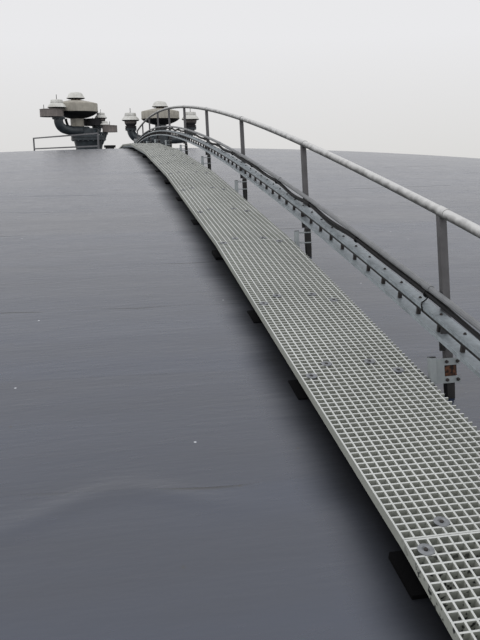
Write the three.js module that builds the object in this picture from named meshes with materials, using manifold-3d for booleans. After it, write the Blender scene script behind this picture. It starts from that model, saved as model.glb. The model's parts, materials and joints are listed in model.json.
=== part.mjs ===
// A flat-bottomed gas tank with a shallow spherical dome roof, at real size, in millimetres, +Z up.
// The origin is at the middle of the tank's underside. A grated walkway climbs the dome along +Y,
// from the head of the access ladder at -Y, with its handrail and cable ladder on the +X side.
// Arc lengths along the roof are measured from the crown: negative ones lie on the -Y side.
import * as THREE from "three";
import { mergeVertices } from "three/addons/utils/BufferGeometryUtils.js";
import Module from "manifold-3d";

const wasm = await Module();
wasm.setup();

// Tank shell
const TANK_RADIUS = 19200;
const CROWN_HEIGHT = 14000;
const ROOF_RADIUS = 98000;
const KNUCKLE_RADIUS = 1200;
const SHELL = 300;
const FLOOR = 250;
const CROWN_PLATE_RADIUS = 3000;
const FACETS = 36;
const SEGMENTS = 6;
const PLAY = 0.4;

// Walkway
const WALK_START = -18640;
const WALK_END = 5800;
const SUPPORT_START = -18620;
const SUPPORT_STEP = 1220;
const SUPPORTS = 21;
const PANEL_START = -17400;
const PANEL = 3660;
const DECK_HALF = 300;
const DECK_TOP = 120;
const DECK_DEPTH = 38;
const PAD_HEIGHT = 22;
const PAD_HALF_LENGTH = 115;
const BEARER_HALF = 30;
const POST_X = 420;
const POST_HALF = 19;
const BRACKET_TOP = 198;

// Handrail
const RAIL_RADIUS = 24;
const RAIL_CENTRE = 802;
const RAIL_TAPER = 0.0026;
const POST_LEAN = 0.2;
const POST_SHIFT = 100;

// Cable ladder, cables and conduit, as heights above the roof
const LADDER_NEAR = 338;
const LADDER_FAR = POST_X - POST_HALF - PLAY;
const UPPER_RAIL = [356, 386];
const LOWER_RAIL = [275, 305];
const CONDUIT_RADIUS = 17;
const CONDUIT_LIFT = 461;
const BUNDLE_RADIUS = 18;
const BUNDLE_LIFT = 425;
const RISER_FOOT = 1400;

// Access ladder at -Y
const CLIMB_X = -100;
const STILE_OFFSET = 250;
const STILE_OUT = 220;
const RUNG_STEP = 300;
const CAGE_RADIUS = 340;
const CAGE_OUT = 550;
const CAGE_FOOT = 2500;
const GUARD_HEIGHT = 1100;

// Relief valve clusters
const CLUSTER_TURN = -0.1975;
const LEFT_CLUSTER = [-1464, 4889];
const RIGHT_CLUSTER = [1311, 7168];
const ROD_RADIUS = 14;

const SPHERE_Z = CROWN_HEIGHT - ROOF_RADIUS;
const KNUCKLE_R = TANK_RADIUS - KNUCKLE_RADIUS;
const KNUCKLE_Z = SPHERE_Z + Math.sqrt((ROOF_RADIUS - KNUCKLE_RADIUS) ** 2 - KNUCKLE_R ** 2);
const TANGENT = Math.asin(KNUCKLE_R / (ROOF_RADIUS - KNUCKLE_RADIUS));
const DOME_ARC = ROOF_RADIUS * TANGENT;
const KNUCKLE_ARC = KNUCKLE_RADIUS * (Math.PI / 2 - TANGENT);

const group = new THREE.Group();

const finish = {
  membrane: new THREE.MeshStandardMaterial({ color: 0x5b626c, roughness: 0.55 }),
  wall: new THREE.MeshStandardMaterial({ color: 0x8c9196, roughness: 0.6 }),
  concrete: new THREE.MeshStandardMaterial({ color: 0x8d8b85, roughness: 0.9 }),
  grating: new THREE.MeshStandardMaterial({ color: 0xa3a69b, roughness: 0.7 }),
  galvanised: new THREE.MeshStandardMaterial({ color: 0x8e979c, roughness: 0.5, metalness: 0.8 }),
  steel: new THREE.MeshStandardMaterial({ color: 0x6d7072, roughness: 0.6, metalness: 0.5 }),
  rubber: new THREE.MeshStandardMaterial({ color: 0x17181a, roughness: 0.85 }),
  plastic: new THREE.MeshStandardMaterial({ color: 0x6f7375, roughness: 0.5 }),
  valve: new THREE.MeshStandardMaterial({ color: 0x9b978c, roughness: 0.6 }),
  castIron: new THREE.MeshStandardMaterial({ color: 0x3a4046, roughness: 0.6 }),
};

// A closed geometry as a solid whose faces point out.
function solid(geometry) {
  const bare = geometry.index ? geometry.toNonIndexed() : geometry.clone();
  bare.deleteAttribute("normal");
  bare.deleteAttribute("uv");
  const merged = mergeVertices(bare, 1e-3);
  const flat = [];
  const index = merged.index.array;
  for (let i = 0; i < index.length; i += 3) {
    const [a, b, c] = [index[i], index[i + 1], index[i + 2]];
    if (a !== b && b !== c && c !== a) flat.push(a, b, c);
  }
  const vertProperties = merged.attributes.position.array;
  const made = (triVerts) =>
    new wasm.Manifold(new wasm.Mesh({ numProp: 3, vertProperties, triVerts: new Uint32Array(triVerts) }));
  const first = made(flat);
  if (first.volume() > 0) return first;
  return made(flat.reverse());
}

// The union of several solids.
function join(...pieces) {
  return pieces.flat().reduce((whole, piece) => whole.add(piece));
}

// One named sub-part of the tank.
function part(name, body, material) {
  const { vertProperties, triVerts } = body.getMesh();
  const geometry = new THREE.BufferGeometry();
  geometry.setAttribute("position", new THREE.BufferAttribute(vertProperties, 3));
  geometry.setIndex(new THREE.BufferAttribute(triVerts, 1));
  geometry.computeVertexNormals();
  const mesh = new THREE.Mesh(geometry, material);
  mesh.name = name;
  group.add(mesh);
  return mesh;
}

// A block between two X, two Y and two Z values.
function block(x0, x1, y0, y1, z0, z1) {
  const geometry = new THREE.BoxGeometry(x1 - x0, y1 - y0, z1 - z0);
  geometry.translate((x0 + x1) / 2, (y0 + y1) / 2, (z0 + z1) / 2);
  return solid(geometry);
}

// A profile of [radius, height] pairs turned about the Z axis.
function turned(profile, sides) {
  const geometry = new THREE.LatheGeometry(
    profile.map(([r, z]) => new THREE.Vector2(r, z)),
    sides,
  );
  geometry.rotateX(Math.PI / 2);
  return geometry;
}

// A plate whose outline lies in the YZ plane, between two X values.
function sidePlate(outline, x0, x1) {
  const shape = new THREE.Shape(outline.map(([y, z]) => new THREE.Vector2(y, z)));
  const geometry = new THREE.ExtrudeGeometry(shape, { depth: x1 - x0, bevelEnabled: false });
  const turn = new THREE.Matrix4().makeBasis(
    new THREE.Vector3(0, 1, 0),
    new THREE.Vector3(0, 0, 1),
    new THREE.Vector3(1, 0, 0),
  );
  geometry.applyMatrix4(turn);
  geometry.translate(x0, 0, 0);
  return solid(geometry);
}

// A plate whose outline lies in the XY plane, between two Z values.
function floorPlate(outline, z0, z1) {
  const shape = new THREE.Shape(outline.map(([x, y]) => new THREE.Vector2(x, y)));
  const geometry = new THREE.ExtrudeGeometry(shape, { depth: z1 - z0, bevelEnabled: false });
  geometry.translate(0, 0, z0);
  return solid(geometry);
}

// A round bar along a smooth path of [x, y, z] points.
function roundBar(path, radius, sides, steps) {
  const curve = new THREE.CatmullRomCurve3(path.map((p) => new THREE.Vector3(...p)), false, "centripetal");
  const section = new THREE.Shape();
  section.absarc(0, 0, radius, 0, 2 * Math.PI);
  return new THREE.ExtrudeGeometry(section, {
    steps,
    extrudePath: curve,
    curveSegments: sides / 2,
    bevelEnabled: false,
  });
}

// The dome's meridian as [y, z], carried on as a sphere past the knuckle.
function dome(arc, lift) {
  const angle = arc / ROOF_RADIUS;
  return [(ROOF_RADIUS + lift) * Math.sin(angle), SPHERE_Z + (ROOF_RADIUS + lift) * Math.cos(angle)];
}

// The whole meridian as [y, z]: dome, knuckle and wall face, at a height above the surface.
function meridian(arc, lift) {
  const side = Math.sign(arc) || 1;
  const length = Math.abs(arc);
  if (length <= DOME_ARC) return dome(arc, lift);
  const turn = TANGENT + (length - DOME_ARC) / KNUCKLE_RADIUS;
  if (turn <= Math.PI / 2) {
    const reach = KNUCKLE_RADIUS + lift;
    return [side * (KNUCKLE_R + reach * Math.sin(turn)), KNUCKLE_Z + reach * Math.cos(turn)];
  }
  return [side * (TANK_RADIUS + lift), KNUCKLE_Z - (length - DOME_ARC - KNUCKLE_ARC)];
}

// Evenly spaced values from first to last, both included.
function spread(first, last, steps) {
  return Array.from({ length: steps + 1 }, (_, i) => first + ((last - first) * i) / steps);
}

// The shell's profile from the crown plate's edge to the wall, set in by an inset.
function shellProfile(inset, domeSteps, knuckleSteps) {
  const edge = CROWN_PLATE_RADIUS + PLAY / 2;
  const radius = ROOF_RADIUS - inset;
  const onDome = spread(edge, radius * Math.sin(TANGENT), domeSteps).map((r) => [
    r,
    SPHERE_Z + Math.sqrt(radius ** 2 - r ** 2),
  ]);
  const knuckle = KNUCKLE_RADIUS - inset;
  const onKnuckle = spread(TANGENT, Math.PI / 2, knuckleSteps).map((a) => [
    KNUCKLE_R + knuckle * Math.sin(a),
    KNUCKLE_Z + knuckle * Math.cos(a),
  ]);
  return [...onDome, ...onKnuckle.slice(1)];
}

// A sector of the tank from one seam to the next, a little narrower than its share.
function sector(index) {
  const share = (2 * Math.PI) / SEGMENTS;
  const start = (index - 0.5) * share - Math.PI / 2 + Math.PI / FACETS;
  const middle = start + share / 2;
  const apex = PLAY / 2 / Math.sin(share / 2);
  const reach = TANK_RADIUS * 1.4;
  const corner = [apex * Math.cos(middle), apex * Math.sin(middle)];
  const ray = (a) => [corner[0] + reach * Math.cos(a), corner[1] + reach * Math.sin(a)];
  return floorPlate([corner, ray(start), ray(start + share)], -10, CROWN_HEIGHT + 10);
}

const DOME_STEPS = 7;
const KNUCKLE_STEPS = 3;
const outerProfile = shellProfile(0, DOME_STEPS, KNUCKLE_STEPS);

function tankFloor() {
  const edge = TANK_RADIUS - SHELL - PLAY;
  const disc = [[0, 0], [edge, 0], [edge, FLOOR], [0, FLOOR]];
  part("tank_floor", solid(turned(disc, FACETS)), finish.concrete);
}

function tankWall() {
  const top = KNUCKLE_Z - PLAY;
  const inner = TANK_RADIUS - SHELL;
  const ring = [[TANK_RADIUS, 0], [TANK_RADIUS, top], [inner, top], [inner, 0], [TANK_RADIUS, 0]];
  const whole = solid(turned(ring, FACETS));
  for (let i = 0; i < SEGMENTS; i++) {
    part(`wall_segment_${i + 1}`, whole.intersect(sector(i)), finish.wall);
  }
}

function tankRoof() {
  const innerProfile = shellProfile(SHELL, 3, 2).reverse();
  const whole = solid(turned([...outerProfile, ...innerProfile, outerProfile[0]], FACETS));
  for (let i = 0; i < SEGMENTS; i++) {
    part(`roof_gore_${i + 1}`, whole.intersect(sector(i)), finish.membrane);
  }
  const edge = CROWN_PLATE_RADIUS - PLAY / 2;
  const height = (r, radius) => SPHERE_Z + Math.sqrt(radius ** 2 - r ** 2);
  const profile = [
    [0, height(0, ROOF_RADIUS)],
    [edge, height(edge, ROOF_RADIUS)],
    [edge, height(edge, ROOF_RADIUS - SHELL)],
    [0, height(0, ROOF_RADIUS - SHELL)],
  ];
  part("roof_crown", solid(turned(profile, FACETS)), finish.membrane);
}

// Everything up to just above the roof and just outside the wall, to cut feet and brackets to their seat.
function seatCutter() {
  const outside = outerProfile.map(([r, z]) => [r + (r > KNUCKLE_R ? PLAY : 0), z + PLAY]);
  const profile = [[0, CROWN_HEIGHT + PLAY], ...outside, [TANK_RADIUS + PLAY, -PLAY], [0, -PLAY]];
  return solid(turned(profile, FACETS));
}
const cutter = seatCutter();

// The walkway's straight panels meet at these arcs.
const joints = [WALK_START];
for (let arc = PANEL_START; arc < WALK_END; arc += PANEL) joints.push(arc);
joints.push(WALK_END);

// A point [y, z] on the line of the straight panels, at a height above the roof at their joints.
function deck(arc, lift) {
  const last = joints.length - 2;
  const i = Math.min(last, Math.max(0, joints.findIndex((joint) => arc < joint) - 1));
  const bay = arc >= WALK_END ? last : i;
  const share = (arc - joints[bay]) / (joints[bay + 1] - joints[bay]);
  const [a, b] = [dome(joints[bay], lift), dome(joints[bay + 1], lift)];
  return [a[0] + (b[0] - a[0]) * share, a[1] + (b[1] - a[1]) * share];
}

// A bar that follows the panels between two arcs and two heights.
function deckBar(x0, x1, arc0, arc1, low, high) {
  const arcs = [arc0, ...joints.filter((joint) => joint > arc0 && joint < arc1), arc1];
  const under = arcs.map((arc) => deck(arc, low));
  const over = arcs.map((arc) => deck(arc, high)).reverse();
  return sidePlate([...under, ...over], x0, x1);
}

const supportArcs = Array.from({ length: SUPPORTS }, (_, k) => SUPPORT_START + k * SUPPORT_STEP);
const postArcs = supportArcs.filter((_, k) => k % 2 === 0).map((arc) => arc - POST_SHIFT);

// A block that leans towards the crown with its post, measured from the post's foot on the roof.
function leaning(x0, x1, y0, y1, z0, z1, arc) {
  const geometry = new THREE.BoxGeometry(x1 - x0, y1 - y0, z1 - z0);
  geometry.translate((x0 + x1) / 2, (y0 + y1) / 2, (z0 + z1) / 2);
  geometry.rotateX(-POST_LEAN);
  const [y, z] = meridian(arc, 0);
  geometry.translate(0, y, z);
  return solid(geometry);
}

// Cross bearer on its rubber pad. At every second one an arm carries the bracket of a handrail post.
function support(arc, hasPost) {
  const top = DECK_TOP - DECK_DEPTH - 3;
  const near = LADDER_FAR - PLAY;
  const pieces = [
    deckBar(-DECK_HALF, near, arc - BEARER_HALF, arc + BEARER_HALF, PAD_HEIGHT - 1, top),
    deckBar(-DECK_HALF - 10, near, arc - PAD_HALF_LENGTH, arc + PAD_HALF_LENGTH, -150, PAD_HEIGHT),
  ];
  if (hasPost) {
    const foot = arc - POST_SHIFT;
    const face = -POST_HALF - PLAY;
    pieces.push(deckBar(330, near, foot - BEARER_HALF, arc, 45, top));
    pieces.push(leaning(330, POST_X + 40, face - 8, face, 55, BRACKET_TOP, foot));
    pieces.push(leaning(330, 338, face - 8, 12, 55, BRACKET_TOP, foot));
  }
  return pieces;
}

// Stringers that tie the bearers of one section together, with the supports they carry.
function walkwaySupports() {
  const sections = [[0, 6], [7, 13], [14, 20]];
  const top = DECK_TOP - DECK_DEPTH - PLAY;
  sections.forEach(([first, last], n) => {
    const [arc0, arc1] = [supportArcs[first] - 5, supportArcs[last] + 5];
    const pieces = [
      deckBar(-270, -240, arc0, arc1, 45, top),
      deckBar(240, 270, arc0, arc1, 45, top),
    ];
    for (let k = first; k <= last; k++) pieces.push(...support(supportArcs[k], k % 2 === 0));
    part(`walkway_frame_${n + 1}`, join(pieces).subtract(cutter), finish.galvanised);
  });
}

function walkwayPanels() {
  for (let i = 0; i + 1 < joints.length; i++) {
    const [arc0, arc1] = [joints[i] + 1, joints[i + 1] - 1];
    const panel = deckBar(-DECK_HALF, DECK_HALF, arc0, arc1, DECK_TOP - DECK_DEPTH, DECK_TOP);
    part(`walkway_panel_${i + 1}`, panel, finish.grating);
  }
}

// Height of the handrail above the roof: it comes down slowly towards the crown.
function railHeight(arc) {
  return RAIL_CENTRE - RAIL_TAPER * arc;
}

// A length of the handrail pipe with the posts that are welded under it.
function handrail() {
  const sections = [[0, 3], [4, 7], [8, 10]];
  sections.forEach(([first, last], n) => {
    const start = n === 0 ? postArcs[0] - 200 : (postArcs[first - 1] + postArcs[first]) / 2 + 1;
    const end = n === 2 ? postArcs[last] + 260 : (postArcs[last] + postArcs[last + 1]) / 2 - 1;
    const steps = Math.round((end - start) / SUPPORT_STEP);
    const path = spread(start, end, steps).map((arc) => {
      const [y, z] = dome(arc, 0);
      return [POST_X, y, z + railHeight(arc)];
    });
    const pieces = [solid(roundBar(path, RAIL_RADIUS, 10, steps))];
    for (let i = first; i <= last; i++) {
      const arc = postArcs[i];
      const rail = railHeight(arc);
      const headZ = dome(arc + rail * Math.tan(POST_LEAN), rail)[1];
      const length = (headZ - meridian(arc, 0)[1]) / Math.cos(POST_LEAN);
      const half = POST_HALF;
      pieces.push(leaning(POST_X - half, POST_X + half, -half, half, -150, length, arc));
    }
    part(`handrail_${n + 1}`, join(pieces).subtract(cutter), finish.steel);
  });
}

// A bar that follows the roof's own surface between two arcs and two heights.
function surfaceBar(x0, x1, arcs, low, high) {
  const under = arcs.map((arc) => meridian(arc, low));
  const over = arcs.map((arc) => meridian(arc, high)).reverse();
  return sidePlate([...under, ...over], x0, x1);
}

// Arcs down the shoulder and the wall, from the edge of the dome to a height above the ground.
function riserArcs(start, foot) {
  const eave = -(DOME_ARC + KNUCKLE_ARC);
  return [...spread(start, eave, 5), eave - (KNUCKLE_Z - foot)];
}

const BOX_ARC = WALK_END - 95;
const RUN_START = -DOME_ARC;

// One length of cable ladder on its edge: two rails and the rungs between them.
function ladderLength(arcs, rungArcs) {
  const middle = (LADDER_NEAR + LADDER_FAR) / 2;
  const pieces = [
    surfaceBar(LADDER_NEAR, LADDER_FAR, arcs, ...UPPER_RAIL),
    surfaceBar(LADDER_NEAR, LADDER_FAR, arcs, ...LOWER_RAIL),
  ];
  for (const arc of rungArcs) {
    pieces.push(
      surfaceBar(middle - 14, middle + 14, [arc - 10, arc + 10], LOWER_RAIL[1] - 5, UPPER_RAIL[0] + 5),
    );
  }
  return join(pieces);
}

function cableLadder() {
  const rung = SUPPORT_STEP / 2;
  const halfway = (RUN_START + BOX_ARC) / 2;
  const lengths = [[RUN_START, halfway - 1], [halfway + 1, BOX_ARC - 160]];
  lengths.forEach(([start, end], n) => {
    const arcs = spread(start, end, 10);
    const count = Math.floor((end - start) / rung);
    const rungArcs = Array.from({ length: count }, (_, i) => start + (i + 0.5) * rung);
    part(`cable_ladder_${n + 1}`, ladderLength(arcs, rungArcs), finish.galvanised);
  });
  const arcs = riserArcs(RUN_START - 2, RISER_FOOT);
  const length = arcs[0] - arcs[arcs.length - 1];
  const count = Math.floor(length / rung);
  const rungArcs = Array.from({ length: count }, (_, i) => arcs[0] - (i + 0.5) * rung);
  const riser = [ladderLength(arcs, rungArcs)];
  for (const z of [2000, 4400, 6800, 9200, 10800]) {
    const stand = TANK_RADIUS + LOWER_RAIL[0] + 5;
    riser.push(block(LADDER_NEAR + 10, LADDER_FAR - 10, -stand, -TANK_RADIUS + 100, z - 20, z + 20));
  }
  part("cable_riser", join(riser).subtract(cutter), finish.galvanised);
}

// Conduit and cable bundle over the whole run: up the wall, round the shoulder and along the posts.
function cables() {
  const down = riserArcs(RUN_START, RISER_FOOT - 100).reverse();
  const up = spread(RUN_START, BOX_ARC - 70, 16).slice(1);
  const run = (lift, radius) =>
    pathBar([...down, ...up].map((arc) => [LADDER_FAR - radius, ...meridian(arc, lift)]), radius);
  part("conduit", run(CONDUIT_LIFT, CONDUIT_RADIUS), finish.plastic);
  part("cable_bundle", run(BUNDLE_LIFT, BUNDLE_RADIUS), finish.rubber);
}

// An eight-sided bar through each point of a path, without rounding it between them.
function pathBar(points, radius) {
  const sides = 8;
  const positions = [];
  const rings = points.map((p, i) => {
    const before = new THREE.Vector3(...points[Math.max(0, i - 1)]);
    const after = new THREE.Vector3(...points[Math.min(points.length - 1, i + 1)]);
    const ahead = after.sub(before).normalize();
    const across = new THREE.Vector3(1, 0, 0);
    const up = new THREE.Vector3().crossVectors(across, ahead);
    return Array.from({ length: sides }, (_, k) => {
      const a = (2 * Math.PI * (k + 0.5)) / sides;
      return new THREE.Vector3(...p)
        .addScaledVector(across, radius * Math.cos(a))
        .addScaledVector(up, radius * Math.sin(a));
    });
  });
  const push = (...corners) => corners.forEach((v) => positions.push(v.x, v.y, v.z));
  for (let i = 0; i + 1 < rings.length; i++) {
    for (let k = 0; k < sides; k++) {
      const next = (k + 1) % sides;
      push(rings[i][k], rings[i][next], rings[i + 1][next]);
      push(rings[i][k], rings[i + 1][next], rings[i + 1][k]);
    }
  }
  for (let k = 1; k + 1 < sides; k++) {
    push(rings[0][0], rings[0][k + 1], rings[0][k]);
    const last = rings[rings.length - 1];
    push(last[0], last[k], last[k + 1]);
  }
  const geometry = new THREE.BufferGeometry();
  geometry.setAttribute("position", new THREE.Float32BufferAttribute(positions, 3));
  return solid(geometry);
}

// The boxes that the conduit and the cables run into, at the crown end and at the foot of the wall.
function junctionBoxes() {
  const [y, z] = dome(postArcs[postArcs.length - 1], 0);
  const crown = block(290, LADDER_FAR, y + 15, y + 135, z + 330, z + 530);
  part("junction_box_crown", crown, finish.plastic);
  const out = TANK_RADIUS + CONDUIT_LIFT;
  const foot = [
    block(310, 450, -out - 60, -out + 90, RISER_FOOT - 500, RISER_FOOT - 100 - PLAY),
    block(340, 420, -out + 80, -TANK_RADIUS + 100, RISER_FOOT - 360, RISER_FOOT - 240),
  ];
  part("junction_box_foot", join(foot).subtract(cutter), finish.plastic);
}

const LANDING_Z = dome(WALK_START, DECK_TOP)[1];
const STILE_Y = -TANK_RADIUS - STILE_OUT;

function accessLadder() {
  const top = LANDING_Z + GUARD_HEIGHT;
  const pieces = [];
  for (const side of [-1, 1]) {
    const x = CLIMB_X + side * STILE_OFFSET;
    pieces.push(block(x - 8, x + 8, STILE_Y - 30, STILE_Y + 30, 0, top));
    for (const z of [1500, 4500, 7500, 10500]) {
      pieces.push(block(x - 7, x + 7, STILE_Y, -TANK_RADIUS + 100, z - 30, z + 30));
    }
  }
  for (let z = RUNG_STEP; z < LANDING_Z + 10; z += RUNG_STEP) {
    const half = STILE_OFFSET;
    pieces.push(block(CLIMB_X - half, CLIMB_X + half, STILE_Y - 13, STILE_Y + 13, z - 13, z + 13));
  }
  part("access_ladder", join(pieces).subtract(cutter), finish.galvanised);
}

// The safety cage: flat hoops and upright straps, in three side-by-side parts.
function ladderCage() {
  const centreY = -TANK_RADIUS - CAGE_OUT;
  const thick = 8;
  const foot = STILE_OFFSET + 8 + PLAY;
  const stileFace = STILE_Y - 25;
  const arcAngles = spread(Math.PI, 2 * Math.PI, 10);
  const round = (radius) =>
    arcAngles.map((a) => [CLIMB_X + radius * Math.cos(a), centreY + radius * Math.sin(a)]);
  const outer = CAGE_RADIUS + thick;
  const outline = [
    [CLIMB_X - foot, stileFace + thick],
    [CLIMB_X - outer, stileFace + thick],
    ...round(outer),
    [CLIMB_X + outer, stileFace + thick],
    [CLIMB_X + foot, stileFace + thick],
    [CLIMB_X + foot, stileFace],
    [CLIMB_X + CAGE_RADIUS, stileFace],
    ...round(CAGE_RADIUS).reverse(),
    [CLIMB_X - CAGE_RADIUS, stileFace],
    [CLIMB_X - foot, stileFace],
  ];
  const top = LANDING_Z + GUARD_HEIGHT;
  const hoops = spread(CAGE_FOOT, top - 50, 7).map((z) => floorPlate(outline, z, z + 50));
  const straps = [0, 36, 72, 108, 144, 180].map((degrees) => {
    const a = Math.PI + (degrees * Math.PI) / 180;
    const strap = new THREE.BoxGeometry(8, 40, top - CAGE_FOOT);
    strap.rotateZ(a);
    const reach = CAGE_RADIUS - 2;
    strap.translate(
      CLIMB_X + reach * Math.cos(a),
      centreY + reach * Math.sin(a),
      (top + CAGE_FOOT) / 2,
    );
    return solid(strap);
  });
  const cage = join(hoops, straps);
  const cuts = [-75, 41, 139, 255].map((degrees) => Math.PI + (degrees * Math.PI) / 180);
  ["left", "back", "right"].forEach((side, i) => {
    const [from, to] = [cuts[i], cuts[i + 1]];
    const middle = (from + to) / 2;
    const inset = PLAY / 2 / Math.sin((to - from) / 2);
    const apex = [CLIMB_X + inset * Math.cos(middle), centreY + inset * Math.sin(middle)];
    const ray = (a) => [apex[0] + 1500 * Math.cos(a), apex[1] + 1500 * Math.sin(a)];
    const wedge = floorPlate([apex, ray(from), ray(middle), ray(to)], 0, top + 10);
    part(`ladder_cage_${side}`, cage.intersect(wedge), finish.galvanised);
  });
}

// The landing between the ladder's head and the walkway, on four legs that stand on the shoulder.
function landing() {
  const [x0, x1] = [-560, 310];
  const [y0, y1] = [STILE_Y + 32, dome(WALK_START, DECK_TOP)[0] - 8];
  const top = LANDING_Z;
  const pieces = [block(x0, x1, y0, y1, top - 30, top)];
  for (const x of [x0 + 10, x1 - 60]) {
    pieces.push(block(x, x + 50, y0, y1, top - 100, top - 29));
    for (const y of [-TANK_RADIUS + 30, y1 - 120]) {
      pieces.push(block(x, x + 50, y, y + 50, top - 1500, top - 99));
    }
  }
  part("landing", join(pieces).subtract(cutter), finish.galvanised);
  guard("landing_rail_left", x0, x0 + 30, CLIMB_X - STILE_OFFSET - 8 - PLAY, y0, y1);
  guard("landing_rail_right", x1 - 30, x1, CLIMB_X + STILE_OFFSET + 8 + PLAY, y0, y1);
}

// A guard rail along one side of the landing, with a short return to the ladder's stile.
function guard(name, x0, x1, stile, y0, y1) {
  const foot = LANDING_Z + PLAY;
  const pieces = [
    block(x0, x1, y0, y0 + 30, foot, foot + GUARD_HEIGHT),
    block(x0, x1, y1 - 30, y1, foot, foot + GUARD_HEIGHT),
  ];
  for (const z of [foot + GUARD_HEIGHT - 30, foot + GUARD_HEIGHT / 2]) {
    pieces.push(block(x0, x1, y0, y1, z, z + 30));
    pieces.push(block(Math.min(stile, x1 - 1), Math.max(stile, x0 + 1), y0, y0 + 30, z, z + 30));
  }
  part(name, join(pieces), finish.galvanised);
}

// A place in a valve cluster: right and away as seen from the ladder's head, and up from the roof.
function placed(geometry, cluster, right, away, up) {
  const [x, y] = cluster;
  const roof = SPHERE_Z + Math.sqrt(ROOF_RADIUS ** 2 - x ** 2 - y ** 2);
  geometry.translate(right, away, up);
  geometry.rotateZ(CLUSTER_TURN);
  geometry.translate(x, y, roof);
  return solid(geometry);
}

// A pipe with smooth bends between [right, away, up] points of a cluster.
function clusterPipe(cluster, path, radius, steps) {
  return placed(roundBar(path, radius, 10, steps), cluster, 0, 0, 0);
}

// A flat flange on the end of a cluster's pipe, with its top face at a height above the roof.
function flangeDisc(cluster, right, away, top, radius) {
  const disc = [[0, top - 60], [radius, top - 60], [radius, top], [0, top]];
  return placed(turned(disc, 16), cluster, right, away, 0);
}

// The main relief valve: a wide drum on a cone, with a small weather hat over its neck.
function mainValve(name, cluster, low) {
  const profile = [
    [0, low],
    [215, low],
    [650, low + 175],
    [650, low + 440],
    [205, low + 535],
    [140, low + 540],
    [140, low + 575],
    [278, low + 598],
    [262, low + 660],
    [175, low + 750],
    [0, low + 782],
  ];
  part(name, placed(turned(profile, 20), cluster, 0, 0, 0), finish.valve);
}

// A side valve: flange, cup, wide weather brim, top drum and test rod.
function brimmedValve(cluster, right, away, low, radius) {
  const scale = radius / 300;
  const profile = [
    [0, 0],
    [195, 0],
    [180, 127],
    [205, 275],
    [300, 280],
    [285, 350],
    [195, 415],
    [195, 515],
    [ROD_RADIUS / scale, 520],
    [ROD_RADIUS / scale, 677],
    [0, 677],
  ].map(([r, z]) => [r * scale, z * scale]);
  return placed(turned(profile, 14), cluster, right, away, low);
}

// A flat drum with its own rod, beside the brimmed hat of the same valve.
function drumValve(cluster, right, away, low, radius, height, rod) {
  const profile = [
    [0, low],
    [radius, low],
    [radius, low + height],
    [ROD_RADIUS, low + height + 10],
    [ROD_RADIUS, low + height + rod],
    [0, low + height + rod],
  ];
  return placed(turned(profile, 16), cluster, right, away, 0);
}

function rightCluster() {
  const at = RIGHT_CLUSTER;
  const arm = 1025;
  const flange = 1015;
  const header = [
    [-arm, 0, flange - 30],
    [-arm + 20, 0, 880],
    [-arm + 105, 0, 745],
    [-arm + 260, 0, 662],
    [-arm + 450, 0, 635],
    [0, 0, 635],
    [arm - 450, 0, 635],
    [arm - 260, 0, 662],
    [arm - 105, 0, 745],
    [arm - 20, 0, 880],
    [arm, 0, flange - 30],
  ];
  const column = [
    [0, -150],
    [280, -150],
    [280, 430],
    [370, 435],
    [370, 520],
    [270, 525],
    [270, 790],
    [195, 800],
    [195, 1128],
    [0, 1128],
  ];
  const manifold = join(
    clusterPipe(at, header, 140, 16),
    placed(turned(column, 16), at, 0, 0, 0),
    flangeDisc(at, -arm, 0, flange, 195),
    flangeDisc(at, arm, 0, flange, 195),
  );
  part("right_manifold", manifold.subtract(cutter), finish.castIron);
  mainValve("right_main_valve", at, 1128 + PLAY);
  part("right_side_valve_a", brimmedValve(at, -arm, 0, flange + PLAY, 300), finish.valve);
  part("right_side_valve_b", brimmedValve(at, arm, 0, flange + PLAY, 300), finish.valve);
}

function leftCluster() {
  const at = LEFT_CLUSTER;
  const base = 325;
  const nozzle = [
    [0, -150],
    [390, -150],
    [400, 220],
    [455, 440],
    [528, 445],
    [528, 590],
    [300, 605],
    [300, 800],
    [0, 800],
  ];
  const leftArm = [
    [base, 0, 722],
    [60, -300, 722],
    [-150, -560, 735],
    [-320, -780, 830],
    [-365, -845, 950],
    [-365, -845, 1083],
  ];
  const farArm = [[base, 0, 700], [430, 200, 700], [520, 370, 740], [540, 400, 800], [540, 400, 860]];
  const rightArm = [[base, 0, 205], [510, 0, 215], [650, 0, 340], [740, 0, 510], [785, 0, 590], [790, 0, 646]];
  const column = [[0, 640], [200, 640], [200, 1097], [0, 1097]];
  const manifold = join(
    placed(turned(nozzle, 16), at, base, 0, 0),
    clusterPipe(at, leftArm, 135, 10),
    clusterPipe(at, farArm, 120, 8),
    clusterPipe(at, rightArm, 105, 10),
    placed(turned(column, 16), at, 0, 0, 0),
    flangeDisc(at, -365, -845, 1113, 190),
    flangeDisc(at, 540, 400, 890, 165),
    flangeDisc(at, 790, 0, 676, 140),
  );
  part("left_manifold", manifold.subtract(cutter), finish.castIron);
  mainValve("left_main_valve", at, 1097 + PLAY);
  const near = join(
    drumValve(at, -555, -845, 1113 + PLAY, 348, 223, 130),
    brimmedValve(at, -390, -845, 1130, 274),
  );
  part("left_side_valve_a", near, finish.valve);
  const far = join(
    drumValve(at, 405, 400, 890 + PLAY, 298, 215, 30),
    brimmedValve(at, 660, 420, 945, 195),
  );
  part("left_side_valve_b", far, finish.valve);
  const small = join(
    drumValve(at, 992, 0, 676 + PLAY, 230, 206, 115),
    brimmedValve(at, 843, 0, 774, 135),
  );
  part("left_side_valve_c", small, finish.valve);
}

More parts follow.
